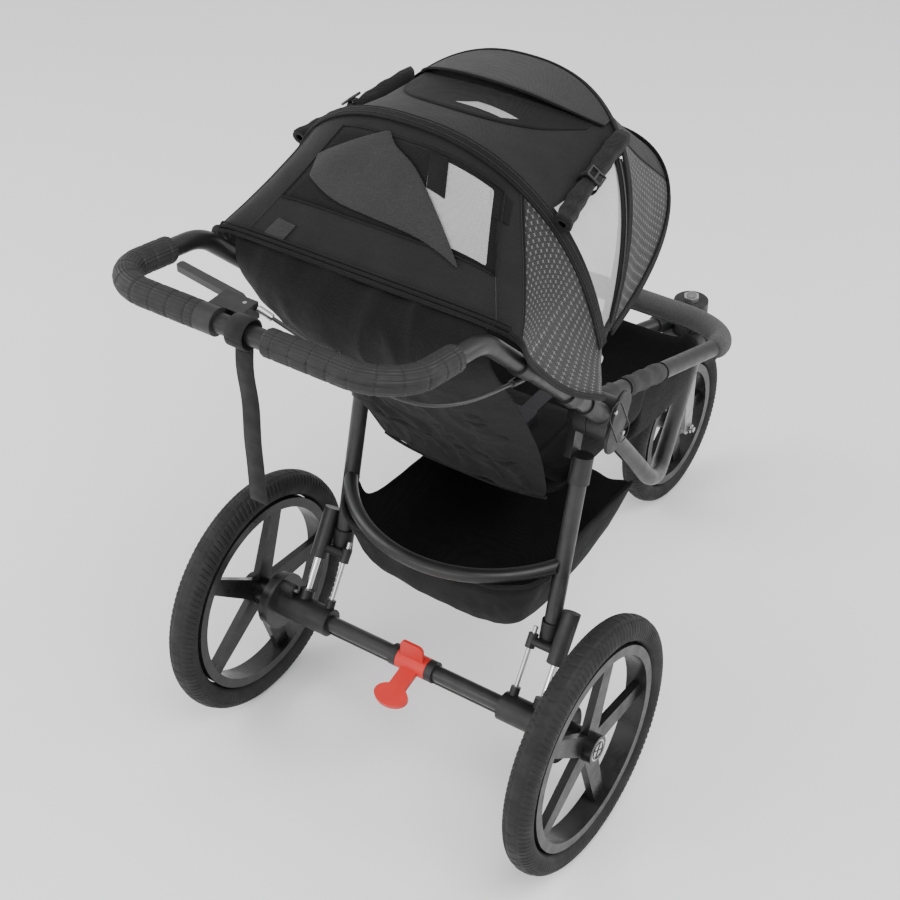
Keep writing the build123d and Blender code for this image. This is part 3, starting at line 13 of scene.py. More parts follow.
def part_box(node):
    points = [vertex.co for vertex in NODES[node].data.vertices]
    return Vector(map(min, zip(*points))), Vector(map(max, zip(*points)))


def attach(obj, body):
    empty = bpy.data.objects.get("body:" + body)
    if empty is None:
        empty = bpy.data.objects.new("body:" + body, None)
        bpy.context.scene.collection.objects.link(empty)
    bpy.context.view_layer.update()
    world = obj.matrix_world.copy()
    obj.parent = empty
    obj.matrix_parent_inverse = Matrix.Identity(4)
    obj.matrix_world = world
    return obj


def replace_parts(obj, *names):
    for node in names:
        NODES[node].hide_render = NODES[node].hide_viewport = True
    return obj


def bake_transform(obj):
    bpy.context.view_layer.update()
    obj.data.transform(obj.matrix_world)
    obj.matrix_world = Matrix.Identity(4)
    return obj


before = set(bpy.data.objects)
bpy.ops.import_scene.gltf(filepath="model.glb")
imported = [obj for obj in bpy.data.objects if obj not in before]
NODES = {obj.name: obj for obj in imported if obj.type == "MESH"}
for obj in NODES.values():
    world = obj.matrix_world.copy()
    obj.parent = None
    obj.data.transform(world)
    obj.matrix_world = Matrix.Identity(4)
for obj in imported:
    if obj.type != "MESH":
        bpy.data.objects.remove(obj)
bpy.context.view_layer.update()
MM = 0.001


# ---- camera ------------------------------------------------------------------------------------------
def place_camera(azimuth, elevation, roll, distance, target, lens):
    """A camera looking at target, its azimuth measured from straight behind (+Y)."""
    a, e, r = radians(azimuth), radians(elevation), radians(roll)
    back = Vector((sin(a) * cos(e), -cos(a) * cos(e), sin(e)))
    right = Vector((cos(a), sin(a), 0.0))
    up = back.cross(right)
    across = cos(r) * right + sin(r) * up
    upright = -sin(r) * right + cos(r) * up
    turn = Matrix((across, upright, back)).transposed()
    data = bpy.data.cameras.new("camera")
    data.lens = lens
    data.sensor_width = 36
    data.clip_end = 50
    camera = bpy.data.objects.new("camera", data)
    camera.matrix_world = Matrix.Translation(Vector(target) + back * distance) @ turn.to_4x4()
    bpy.context.collection.objects.link(camera)
    bpy.context.scene.camera = camera


place_camera(214.6, 37.8, -0.7, 2.908, (0.138, 0.012, 0.351), 73.2)


# ---- making and finishing pieces ---------------------------------------------------------------------
def link(obj, body=None, material=None):
    bpy.context.collection.objects.link(obj)
    if material:
        obj.data.materials.append(material)
    if body:
        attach(obj, body)
    return obj


def mesh(name, verts, faces, smooth=True):
    data = bpy.data.meshes.new(name)
    data.from_pydata([tuple(v) for v in verts], [], faces)
    data.validate()
    for polygon in data.polygons:
        polygon.use_smooth = smooth
    return bpy.data.objects.new(name, data)


def baked(obj):
    """The object's modifiers are applied to its mesh."""
    bpy.context.view_layer.update()
    ready = obj.evaluated_get(bpy.context.evaluated_depsgraph_get())
    data = bpy.data.meshes.new_from_object(ready)
    obj.modifiers.clear()
    obj.data = data
    for polygon in data.polygons:
        polygon.use_smooth = True
    return obj


def thicken(obj, thickness, offset=0.0, subdivide=0, bevel=0.0):
    """Cloth thickness, and then smoothing, applied to the mesh."""
    if thickness:
        solid = obj.modifiers.new("solid", "SOLIDIFY")
        solid.thickness = thickness
        solid.offset = offset
        solid.use_even_offset = True
    if bevel:
        edge = obj.modifiers.new("edge", "BEVEL")
        edge.width = bevel
        edge.segments = 2
        edge.limit_method = "ANGLE"
        edge.angle_limit = radians(50)
    if subdivide:
        smooth = obj.modifiers.new("smooth", "SUBSURF")
        smooth.levels = subdivide
        smooth.render_levels = subdivide
    return baked(obj)


def grid(name, rows, closed=False):
    """A surface through rows of points, each row as long as the others."""
    width = len(rows[0])
    verts = [p for row in rows for p in row]
    faces = []
    for r in range(len(rows) - 1):
        for c in range(width if closed else width - 1):
            d = (c + 1) % width
            faces.append((r * width + c, r * width + d, (r + 1) * width + d, (r + 1) * width + c))
    return mesh(name, verts, faces)


def polyline_tube(name, runs, radius, smooth=True, resolution=3):
    """Round piping, thread or wire along one or more lines of points, as one mesh."""
    curve = bpy.data.curves.new(name, "CURVE")
    curve.dimensions = "3D"
    curve.bevel_depth = radius
    curve.bevel_resolution = resolution
    curve.use_fill_caps = True
    curve.resolution_u = 6
    for run in runs:
        spline = curve.splines.new("NURBS" if smooth and len(run) > 2 else "POLY")
        spline.points.add(len(run) - 1)
        for point, place in zip(spline.points, run):
            point.co = (*place, 1)
        if spline.type == "NURBS":
            spline.order_u = 3
            spline.use_endpoint_u = True
    holder = bpy.data.objects.new(name + "_curve", curve)
    bpy.context.collection.objects.link(holder)
    bpy.context.view_layer.update()
    data = bpy.data.meshes.new_from_object(holder.evaluated_get(bpy.context.evaluated_depsgraph_get()))
    bpy.data.objects.remove(holder)
    obj = bpy.data.objects.new(name, data)
    for polygon in data.polygons:
        polygon.use_smooth = True
    return obj


def along(points, count):
    """Evenly spaced points along a line of points, with the direction at each."""
    lengths = [0.0]
    for a, b in zip(points, points[1:]):
        lengths.append(lengths[-1] + (Vector(b) - Vector(a)).length)
    result, k = [], 0
    for step in range(count):
        target = lengths[-1] * step / (count - 1)
        while k < len(points) - 2 and lengths[k + 1] < target:
            k += 1
        span = max(lengths[k + 1] - lengths[k], 1e-9)
        a, b = Vector(points[k]), Vector(points[k + 1])
        result.append((a.lerp(b, (target - lengths[k]) / span), (b - a).normalized()))
    return result


def ribbon(name, centres, width_direction, width, thickness, edge=0.0008):
    """A flat strap along a line of centres, with rounded edges and its own crown across the width."""
    half = width / 2
    profile = [(-half, 0), (-half + edge, thickness / 2), (0, thickness * 0.56), (half - edge, thickness / 2)]
    profile += [(half, 0), (half - edge, -thickness / 2), (0, -thickness * 0.44), (-half + edge,
            -thickness / 2)]
    rows = []
    for k, centre in enumerate(centres):
        centre = Vector(centre)
        ahead = Vector(centres[min(k + 1, len(centres) - 1)]) - Vector(centres[max(k - 1, 0)])
        side = Vector(width_direction[k] if isinstance(width_direction,
                list) else width_direction).normalized()
        out = ahead.normalized().cross(side).normalized()
        rows.append([centre + side * u + out * v for u, v in profile])
    obj = grid(name, rows, closed=True)
    count = len(profile)
    builder = bmesh.new()
    builder.from_mesh(obj.data)
    builder.verts.ensure_lookup_table()
    builder.faces.new([builder.verts[k] for k in range(count)])
    builder.faces.new([builder.verts[len(builder.verts) - 1 - k] for k in range(count)])
    bmesh.ops.recalc_face_normals(builder, faces=builder.faces)
    builder.to_mesh(obj.data)
    builder.free()
    for polygon in obj.data.polygons:
        polygon.use_smooth = True
    return obj


# ---- materials ---------------------------------------------------------------------------------------
class Look:
    """One node material: colour variation, roughness variation and a height field that drives its bump."""

    def __init__(self, name, dark, light, rough, mottle=30, spread=0.12, metallic=0.0, specular=0.32):
        self.material = bpy.data.materials.new(name)
        self.material.use_nodes = True
        self.tree = self.material.node_tree
        self.shader = self.tree.nodes["Principled BSDF"]
        self.shader.inputs["Metallic"].default_value = metallic
        self.shader.inputs["Specular IOR Level"].default_value = specular
        self.place = self.node("ShaderNodeTexCoord").outputs["Object"]
        self.colour = self.mix(dark, light, self.noise(mottle, 5))
        varied = self.node("ShaderNodeMapRange")
        self.join(self.noise(mottle * 2.3, 4), varied.inputs["Value"])
        varied.inputs["From Min"].default_value = 0.3
        varied.inputs["From Max"].default_value = 0.7
        varied.inputs["To Min"].default_value = max(rough - spread, 0.03)
        varied.inputs["To Max"].default_value = min(rough + spread, 1)
        self.join(varied.outputs["Result"], self.shader.inputs["Roughness"])
        self.heights = []

    def node(self, kind):
        return self.tree.nodes.new(kind)

    def join(self, source, target):
        self.tree.links.new(source, target)

    def mix(self, first, second, factor):
        node = self.node("ShaderNodeMix")
        node.data_type = "RGBA"
        for value, socket in ((first, node.inputs[6]), (second, node.inputs[7])):
            if isinstance(value, bpy.types.NodeSocket):
                self.join(value, socket)
            else:
                socket.default_value = (*value, 1)
        self.join(factor, node.inputs[0])
        return node.outputs[2]

    def math(self, operation, first, second=None, third=None):
        node = self.node("ShaderNodeMath")
        node.operation = operation
        for value, socket in zip((first, second, third), node.inputs):
            if isinstance(value, bpy.types.NodeSocket):
                self.join(value, socket)
            elif value is not None:
                socket.default_value = value
        return node.outputs[0]

    def noise(self, scale, detail=3, stretch=None, source=None):
        place = source or self.place
        if stretch:
            mapping = self.node("ShaderNodeMapping")
            mapping.inputs["Scale"].default_value = stretch
            self.join(place, mapping.inputs["Vector"])
            place = mapping.outputs["Vector"]
        node = self.node("ShaderNodeTexNoise")
        node.inputs["Scale"].default_value = scale
        node.inputs["Detail"].default_value = detail
        self.join(place, node.inputs["Vector"])
        return node.outputs["Fac"]

    def wave(self, direction, pitch, distortion=0.3):
        node = self.node("ShaderNodeTexWave")
        node.bands_direction = direction
        node.inputs["Scale"].default_value = 0.314 / pitch
        node.inputs["Distortion"].default_value = distortion
        node.inputs["Detail"].default_value = 1
        node.inputs["Detail Scale"].default_value = 2
        self.join(self.place, node.inputs["Vector"])
        return node.outputs["Fac"]

    def weave(self, pitch):
        """Crossing threads on any surface, without a UV map."""
        threads = [self.wave(axis, pitch) for axis in "XYZ"]
        pairs = [self.math("MULTIPLY", threads[k], threads[(k + 1) % 3]) for k in range(3)]
        return self.math("ADD", self.math("ADD", pairs[0], pairs[1]), pairs[2])

    def bump(self, height, strength, distance=0.001):
        self.heights.append((height, strength, distance))
        return self

    def tint(self, colour, factor):
        self.colour = self.mix(self.colour, colour, factor)
        return self

    def band(self, value, low, high):
        """1 where value is above high, 0 below low, and smooth between."""
        node = self.node("ShaderNodeMapRange")
        node.interpolation_type = "SMOOTHSTEP"
        self.join(value, node.inputs["Value"])
        node.inputs["From Min"].default_value = low
        node.inputs["From Max"].default_value = high
        return node.outputs["Result"]

    def worn(self, colour, low=0.54, high=0.62):
        """Lighter edges, where handling rubs the finish."""
        edges = self.node("ShaderNodeNewGeometry").outputs["Pointiness"]
        rubbed = self.math("MULTIPLY", self.band(edges, low, high), self.noise(60, 4))
        return self.tint(colour, rubbed)

    def uv(self):
        node = self.node("ShaderNodeUVMap")
        node.uv_map = "cut"
        split = self.node("ShaderNodeSeparateXYZ")
        self.join(node.outputs["UV"], split.inputs[0])
        return split.outputs[0], split.outputs[1]

    def crosses(self, pitch, arm, thin):
        """A printed grid of small crosses, measured on the cloth as it was cut."""
        u, v = self.uv()
        cells = []
        for axis in (u, v):
            part = self.math("FRACT", self.math("DIVIDE", axis, pitch))
            cells.append(self.math("ABSOLUTE", self.math("SUBTRACT", part, 0.5)))
        near = [self.math("LESS_THAN", cell, thin / pitch) for cell in cells]
        reach = [self.math("LESS_THAN", cell, arm / pitch) for cell in cells]
        first = self.math("MULTIPLY", near[0], reach[1])
        second = self.math("MULTIPLY", near[1], reach[0])
        return self.math("MAXIMUM", first, second)

    def sheen(self, weight, rough=0.5, tint=(1, 1, 1)):
        self.shader.inputs["Sheen Weight"].default_value = weight
        self.shader.inputs["Sheen Roughness"].default_value = rough
        self.shader.inputs["Sheen Tint"].default_value = (*tint, 1)
        return self

    def coat(self, weight, rough=0.2):
        self.shader.inputs["Coat Weight"].default_value = weight
        self.shader.inputs["Coat Roughness"].default_value = rough
        return self

    def alpha(self, value):
        self.shader.inputs["Alpha"].default_value = value
        return self

    def done(self):
        self.join(self.colour, self.shader.inputs["Base Color"])
        last = None
        for height, strength, distance in self.heights:
            node = self.node("ShaderNodeBump")
            node.inputs["Strength"].default_value = strength
            node.inputs["Distance"].default_value = distance
            self.join(height, node.inputs["Height"])
            if last:
                self.join(last, node.inputs["Normal"])
            last = node.outputs["Normal"]
        if last:
            self.join(last, self.shader.inputs["Normal"])
        return self.material


def grey(value, warm=0.0):
    return (value * (1 + warm), value, value * (1 - warm))


def powder_coat(name, value, rough):
    look = Look(name, grey(value * 0.8), grey(value * 1.3), rough, mottle=25, spread=0.07)
    look.bump(look.noise(1400, 2), 0.22, 0.0002).bump(look.noise(90, 3), 0.06, 0.0006)
    return look.worn(grey(value * 4)).coat(0.12, 0.35).done()


def moulded(name, value, rough, grain=900, strength=0.25, colour=None):
    dark = colour[0] if colour else grey(value * 0.8)
    light = colour[1] if colour else grey(value * 1.35)
    look = Look(name, dark, light, rough, mottle=18, spread=0.1)
    look.bump(look.noise(grain, 2), strength, 0.0002).bump(look.noise(55, 4), 0.08, 0.0008)
    look.worn(colour[1] if colour else grey(value * 4), 0.55, 0.68)
    return look.done()


def metal(name, value, rough, brushed=(1, 1, 1), scratches=0.2):
    look = Look(name, grey(value * 0.8), grey(value), rough, mottle=45, spread=0.08, metallic=1.0,
            specular=0.5)
    look.bump(look.noise(500, 6, brushed), scratches, 0.0002)
    return look.done()


def cloth(name, value, pitch=0.0016, rough=0.85, sheen=0.25, strength=0.55, heather=0.5, folds=0.25,
        tone=0.0):
    dark, light = grey(value * 0.72, tone), grey(value * 1.25, tone)
    look = Look(name, dark, light, rough, mottle=9, spread=0.08, specular=0.14)
    weave = look.weave(pitch)
    flecks = look.math("MULTIPLY", look.band(look.noise(1100, 2), 0.52, 0.66), heather)
    look.tint(grey(value * 2.6, tone), flecks)
    look.bump(weave, strength, pitch * 0.4)
    look.bump(look.noise(22, 3), folds, 0.006)
    return look.sheen(sheen, 0.45)


FRAME_BLACK = powder_coat("frame_black", 0.0075, 0.4)
AXLE_BLACK = powder_coat("axle_black", 0.007, 0.34)
FORK_GREY = powder_coat("fork_grey", 0.10, 0.38)
PLASTIC = moulded("black_plastic", 0.008, 0.45)
WHEEL_PLASTIC = moulded("wheel_plastic", 0.007, 0.32, grain=600, strength=0.15)
LEVER_BLACK = moulded("lever_black", 0.012, 0.28, grain=1500, strength=0.1)
RED = moulded("red_plastic", 0, 0.42, grain=700, strength=0.12, colour=((0.42, 0.012, 0.012), (0.6,
        0.03, 0.025)))
STEEL = metal("zinc_steel", 0.55, 0.32, (1, 1, 1), 0.25)
CHROME = metal("chrome_rod", 0.86, 0.1, (1, 8, 8), 0.05)
SILVER = metal("silver_trim", 0.62, 0.28, (6, 1, 1), 0.2)


def rubber():
    look = Look("tyre_rubber", grey(0.006), grey(0.012), 0.68, mottle=14, spread=0.12)
    dust = look.math("MULTIPLY", look.band(look.noise(35, 6), 0.5, 0.75), 0.35)
    look.tint(grey(0.022, 0.05), dust)
    return look.bump(look.noise(1300, 3), 0.35, 0.0003).done()


def grip_foam():
    look = Look("grip_foam", grey(0.008), grey(0.017), 0.6, mottle=35, spread=0.12)
    u, v = look.uv()
    ribs = look.math("SINE", look.math("MULTIPLY", v, 2 * pi * 26))
    look.bump(ribs, 0.5, 0.0006).bump(look.noise(1600, 3), 0.4, 0.0003)
    return look.worn(grey(0.09), 0.52, 0.6).done()


def sleeve():
    look = Look("cable_sleeve", grey(0.02), grey(0.035), 0.38, mottle=60)
    return look.bump(look.wave("DIAGONAL", 0.002), 0.2, 0.0002).done()


def mesh_net():
    look = Look("window_mesh", grey(0.42), grey(0.58), 0.7, mottle=12, specular=0.2)
    look.bump(look.weave(0.0018), 0.6, 0.0005)
    look.alpha(0.5)
    return look.done()


def print_cloth():
    look = cloth("printed_cloth", 0.026, 0.0016, sheen=0.08, strength=0.35)
    look.tint(grey(0.3), look.math("MULTIPLY", look.crosses(0.0135, 0.0040, 0.0005), 0.6))
    return look.done()


def webbing(name, value, ribs=0.0021):
    look = Look(name, grey(value * 0.75), grey(value * 1.3), 0.8, mottle=30, specular=0.25)
    u, v = look.uv()
    edge = look.math("ABSOLUTE", look.math("SUBTRACT", u, 0.5))
    look.bump(look.math("SINE", look.math("MULTIPLY", v, 2 * pi / ribs)), 0.5, 0.0005)
    look.tint(grey(value * 2.2), look.math("MULTIPLY", look.band(edge, 0.34, 0.4), 0.25))
    look.bump(look.weave(0.0014), 0.3, 0.0004)
    return look.sheen(0.04).done()


RUBBER = rubber()
GRIP = grip_foam()
SLEEVE = sleeve()
NET = mesh_net()
PRINTED = print_cloth()
CANOPY_CLOTH = cloth("canopy_cloth", 0.0115, 0.0016, sheen=0.07, strength=0.35, heather=0.35).done()
# Near-black cloth, used for dark cloth parts and also for sheets of painted shade in the rear window and under
# the vent flap.
SHADE_AND_DARK_CLOTH = cloth("painted_shade_and_dark_cloth", 0.006, 0.0014, sheen=0.04).done()
FLAP_CLOTH = cloth("flap_cloth", 0.024, 0.0015, sheen=0.08).done()
SEAT_CLOTH = cloth("seat_cloth", 0.005, 0.0018, sheen=0.04, strength=0.5, folds=0.5).done()
PAD_CLOTH = cloth("pad_cloth", 0.009, 0.0018, sheen=0.06, folds=0.35).done()
RING_CLOTH = cloth("ring_cloth", 0.055, 0.0016, sheen=0.1, folds=0.3).done()
SLEEVE_CLOTH = cloth("sleeve_cloth", 0.03, 0.0016, sheen=0.08, folds=0.4).done()
PIPING = cloth("piping_cloth", 0.007, 0.0012, sheen=0.05, folds=0.05).done()
THREAD = cloth("thread", 0.03, 0.0008, sheen=0.05, folds=0.02).done()
WEBBING = webbing("webbing", 0.006)


# ---- brake cable: a stiff sleeve from the lever's adjuster down to its guide on the right handle tube 
CABLE_ROUTE = [
    (-7, 577, 970), (-55, 571, 950), (-104, 567, 930), (-152, 560, 909),
    (-188, 531, 889), (-206, 485, 872), (-212, 432, 857), (-211, 385, 843),
]
cable_curve = bpy.data.curves.new("brake_cable_sleeve", "CURVE")
cable_curve.dimensions = "3D"
cable_curve.bevel_depth = 0.0025
cable_curve.bevel_resolution = 5
cable_curve.resolution_u = 12
cable_spline = cable_curve.splines.new("NURBS")
cable_spline.points.add(len(CABLE_ROUTE) - 1)
for cable_point, place in zip(cable_spline.points, CABLE_ROUTE):
    cable_point.co = (*[v * MM for v in place], 1)
cable_spline.order_u = 3
cable_spline.use_endpoint_u = True
cable = link(bpy.data.objects.new("brake_cable_sleeve", cable_curve), "upper_frame", SLEEVE)
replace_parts(cable, "brake_cable")


# ---- finishes of the CAD parts that stay -------------------------------------------------------------
FINISHES = {
    FRAME_BLACK: "handle_tube seat_ring_tube down_tubes rear_legs crossbar canopy_rear_bow canopy_mid_bow",
    AXLE_BLACK: "rear_axle_tube brake_plates",
    FORK_GREY: "front_fork",
    PLASTIC: "hinge_knuckles handle_knuckles hinge_covers canopy_mounts leg_tops shock_brackets axle_blocks"
    " pedal_collars swivel_housing cable_guide brake_lever_clamp swivel_bushes canopy_front_bow",
    WHEEL_PLASTIC: "front_wheel rear_wheel_left rear_wheel_right",
    LEVER_BLACK: "brake_lever",
    RED: "brake_pedal",
    STEEL: "hinge_bolts canopy_pins stub_axles guide_rods front_axle fork_nuts lever_pin_and_adjuster"
    " brake_pin_left brake_pin_right",
    CHROME: "shock_rods",
    SILVER: "release_cap_left release_cap_right",
    SLEEVE: "axle_cable",
}
for finish_look, names in FINISHES.items():
    for node_name in names.split():
        node = NODES[node_name]
        if not node.material_slots:
            node.data.materials.append(finish_look)
        for place in node.material_slots:
            place.material = finish_look


# ---- floor and light ---------------------------------------------------------------------------------
floor_look = Look("studio_floor", grey(0.86), grey(0.89), 0.75, mottle=2, spread=0.05, specular=0.2)
floor = mesh("studio_floor", [(-9, -9, 0), (9, -9, 0), (9, 9, 0), (-9, 9, 0)], [(0, 1, 2, 3)])
link(floor, None, floor_look.bump(floor_look.noise(300, 3), 0.03, 0.0002).done())


def softbox(name, place, aim, size, power, tone=(1, 1, 1)):
    data = bpy.data.lights.new(name, "AREA")
    data.shape = "RECTANGLE"
    data.size, data.size_y = size
    data.energy = power
    data.color = tone
    lamp = bpy.data.objects.new(name, data)
    lamp.location = place
    lamp.rotation_euler = (Vector(aim) - Vector(place)).to_track_quat("-Z", "Y").to_euler()
    bpy.context.collection.objects.link(lamp)


softbox("key_light", (-1.6, 1.4, 3.4), (0, 0, 0.5), (2.2, 2.2), 95)
softbox("front_light", (-2.6, -1.8, 2.2), (0, 0, 0.5), (1.8, 2.4), 60)
softbox("left_light", (2.8, 1.2, 2.0), (0, 0, 0.4), (2.0, 2.2), 60)
softbox("rear_light", (0.4, 3.4, 1.4), (0, 0, 0.5), (2.6, 1.6), 45)
world = bpy.data.worlds.new("studio")
world.use_nodes = True
world.node_tree.nodes["Background"].inputs["Color"].default_value = (1, 1, 1, 1)
world.node_tree.nodes["Background"].inputs["Strength"].default_value = 0.95
bpy.context.scene.world = world


# ---- canopy: three stretched panels between the bows, with windows, vent, rolled flaps and piping ----
PIVOT = Vector((0, 0.208, 0.783))
HEM = {"angle": 110, "half": 0.236, "height": 0.046, "round": 6, "start": 0, "pivot": Vector((0, 0.392,
        0.890))}
REAR = {"angle": 104, "half": 0.239, "height": 0.318, "round": 2.35, "start": 0.03, "pivot": PIVOT}
MID = {"angle": 55, "half": 0.231, "height": 0.343, "round": 2.35, "start": 0.05, "pivot": PIVOT}
FRONT = {"angle": 13, "half": 0.220, "height": 0.412, "round": 2.35, "start": 0.05, "pivot": PIVOT}


def on_arch(arch, s, inset=0.0008):
    """A point s of the way round a bow's fabric line, from the left (0) over the crown to the right (1)."""
    half, height = arch["half"] - inset, arch["height"] - inset
    power = 2 / arch["round"]
    lowest = asin((arch["start"] / height) ** (1 / power)) if arch["start"] else 0.0
    turn = lowest + (pi - 2 * lowest) * s
    side = 1 if cos(turn) >= 0 else -1
    reach = height * abs(sin(turn)) ** power
    tilt = radians(arch["angle"])
    x = side * half * abs(cos(turn)) ** power
    return arch["pivot"] + Vector((x, -reach * cos(tilt), reach * sin(tilt)))


def on_hem(s):
    """The rear hem: over the back edge, and down each side to a skirt that hides the handle tube."""
    skirt = 0.12
    if skirt <= s <= 1 - skirt:
        return on_arch(HEM, (s - skirt) / (1 - 2 * skirt))
    side = 1 if s < 0.5 else -1
    low = min(s, 1 - s) / skirt
    top = on_arch(HEM, 0 if side > 0 else 1)
    foot = Vector((side * 0.2375, 0.206, 0.722))
    return foot.lerp(top, low) + Vector((0, 0.006, -0.012)) * sin(pi * low)


def on_panel(first, second, s, t, sag):
    """A point of the panel between two edges: s across the frame, t from the first edge to the second."""
    a = on_hem(s) if first is HEM else on_arch(first, s)
    b = on_arch(second, s)
    point = a.lerp(b, t)
    middle = PIVOT + Vector((0, 0.02, 0.02))
    inward = middle - point
    inward.x *= 0.6
    pull = sag * sin(pi * t) * min(1, 4.5 * min(s, 1 - s) + 0.25)
    ripple = 0.0016 * noise.noise(Vector((s * 9, t * 4, 2.0 * first["angle"])))
    return point + inward.normalized() * (pull + ripple * sin(pi * t))


def cloth_patch(name, place, u_range, v_range, columns, rows, thickness, lift=0.0, cut=(1.0, 1.0)):
    """Cloth over u and v, where place gives a point and lift moves it outwards; its UV map has its cut size."""
    (u0, u1), (v0, v1) = u_range, v_range
    lines, flat = [], []
    for r in range(rows + 1):
        line = []
        for c in range(columns + 1):
            a, b = c / columns, r / rows
            low = u0(b) if callable(u0) else u0
            high = u1(b) if callable(u1) else u1
            u = low + (high - low) * a
            v = v0 + (v1 - v0) * b
            line.append(place(u, v))
            flat.append((u * cut[0], v * cut[1]))
        lines.append(line)
    obj = grid(name, lines)
    layer = obj.data.uv_layers.new(name="cut")
    for loop in obj.data.loops:
        layer.data[loop.index].uv = flat[loop.vertex_index]
    obj.data.update()
    if lift:
        normals = [v.normal.copy() for v in obj.data.vertices]
        middle = Vector((0, 0.1, 0.8))
        for vertex, normal in zip(obj.data.vertices, normals):
            outward = normal if normal.dot(vertex.co - middle) > 0 else -normal
            vertex.co += outward * lift
    bpy.context.collection.objects.link(obj)
    thicken(obj, thickness)
    return obj


def place_cloth(obj, material):
    obj.data.materials.clear()
    obj.data.materials.append(material)
    return obj


def blend_canopy(obj, first, second):
    """The cloth's placement is baked into its mesh."""
    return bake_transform(obj)


def rear_place(s, t):
    return on_panel(HEM, REAR, s, t, 0.004)


def top_place(s, t):
    return on_panel(REAR, MID, s, t, 0.007)


def visor_place(s, t):
    return on_panel(MID, FRONT, s, t, 0.005)


def quarter_seam(t):
    """Where the printed quarter panel meets the dark rear panel, as a share of the way from the side."""
    return 0.245 + 0.045 * t - 0.06 * (1 - t) ** 2


SKIN = 0.0012
rear_parts = [
    ("canopy_rear_cloth", lambda t: quarter_seam(t), lambda t: 1 - quarter_seam(t), 60, CANOPY_CLOTH),
    ("canopy_quarter_left", 0.0, lambda t: quarter_seam(t), 22, PRINTED),
    ("canopy_quarter_right", lambda t: 1 - quarter_seam(t), 1.0, 22, PRINTED),
]
canopy_rear = []
for name, low, high, columns, look in rear_parts:
    piece = cloth_patch(name, rear_place, (low, high), (0.0, 1.0), columns, 22, SKIN, cut=(1.05, 0.28))
    canopy_rear.append(blend_canopy(place_cloth(piece, look), HEM, REAR))
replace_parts(canopy_rear[0], "canopy_rear_panel")


top_parts = [
    ("canopy_top_cloth", 0.235, 0.765, (0.0, 1.0), 48, CANOPY_CLOTH, SKIN),
    ("canopy_net_left", 0.0, 0.235, (0.05, 0.93), 18, NET, 0.0009),
    ("canopy_net_right", 0.765, 1.0, (0.05, 0.93), 18, NET, 0.0009),
]
canopy_tops = []
for name, low, high, span, columns, look, skin in top_parts:
    piece = cloth_patch(name, top_place, (low, high), span, columns, 20, skin, cut=(1.05, 0.3))
    canopy_tops.append(blend_canopy(place_cloth(piece, look), REAR, MID))
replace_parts(canopy_tops[0], "canopy_top")

visor_parts = [
    ("canopy_visor_cloth", 0.285, 0.715, 48, CANOPY_CLOTH),
    ("canopy_visor_left", 0.0, 0.285, 22, PRINTED),
    ("canopy_visor_right", 0.715, 1.0, 22, PRINTED),
]
visors = []
for name, low, high, columns, look in visor_parts:
    piece = cloth_patch(name, visor_place, (low, high), (0.0, 1.0), columns, 20, SKIN, cut=(1.05, 0.26))
    visors.append(blend_canopy(place_cloth(piece, look), MID, FRONT))
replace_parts(visors[0], "canopy_visor")


def edge_tape(name, place, points, width, body_pair, look=PIPING, lift=0.0018, thick=0.0016):
    """A sewn tape along (s, t) points of a panel."""
    centres = [place(s, t) for s, t in points]
    middle = Vector((0, 0.12, 0.8))
    sides = []
    raised = []
    for k, centre in enumerate(centres):
        ahead = (centres[min(k + 1, len(centres) - 1)] - centres[max(k - 1, 0)]).normalized()
        out = (centre - middle).normalized()
        side = ahead.cross(out).normalized()
        sides.append(side)
        raised.append(centre + side.cross(ahead).normalized() * lift)
    tape = ribbon(name, raised, sides, width, thick)
    bpy.context.collection.objects.link(tape)
    place_cloth(tape, look)
    return blend_canopy(tape, *body_pair) if isinstance(body_pair, tuple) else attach(tape, body_pair)


def spread(low, high, count=60):
    return [low + (high - low) * k / (count - 1) for k in range(count)]


BOW_TAPES = [("tape_rear_bow", REAR, "canopy_rear"), ("tape_mid_bow", MID, "canopy_mid")]
BOW_TAPES.append(("tape_front_bow", FRONT, "canopy_front"))
for name, arch, body in BOW_TAPES:
    ring = [on_arch(arch, s, -0.0012) for s in spread(0.0, 1.0, 90)]
    across = Vector((0, sin(radians(arch["angle"])), cos(radians(arch["angle"]))))
    wide = 0.013 if arch is not REAR else 0.016
    tape = ribbon(name, ring, across, wide, 0.0022)
    link(tape, body, PIPING)
    cords = [[p + across * offset for p in ring] for offset in (-wide / 2 + 0.0005, wide / 2 - 0.0005)]
    link(polyline_tube(name + "_piping", cords, 0.0015), body, PIPING)
    stitches = [[p + across * offset + (p - PIVOT).normalized() * 0.0018 for p in ring]
                for offset in (-0.004, 0.004)]
    link(polyline_tube(name + "_stitching", stitches, 0.00035, resolution=1), body, THREAD)

hem_line = [on_hem(s) for s in spread(0.0, 1.0, 140)]
hem_out = [p + (p - Vector((0, 0.3, 0.8))).normalized() * 0.002 for p in hem_line]
hem_across = Vector((0, 0.55, -0.83))
for index, (drop, radius) in enumerate(((0.000, 0.0024), (0.0062, 0.0024), (0.011, 0.0013))):
    run = [p - hem_across * drop * (1 if abs(p.x) < 0.22 else 0.5) for p in hem_out]
    link(polyline_tube(f"hem_piping_{index}", [run], radius), "upper_frame", PIPING)


# ---- canopy details: seams, rear window with its folded flap, vent flap, rolled window flaps ---------
def seam(name, place, points, pair, lift=0.0013, radius=0.00075, look=PIPING, body=None):
    middle = Vector((0, 0.12, 0.78))
    run = [place(s, t) + (place(s, t) - middle).normalized() * lift for s, t in points]
    piece = polyline_tube(name, [run], radius, resolution=2)
    bpy.context.collection.objects.link(piece)
    place_cloth(piece, look)
    return blend_canopy(piece, *pair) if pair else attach(piece, body)


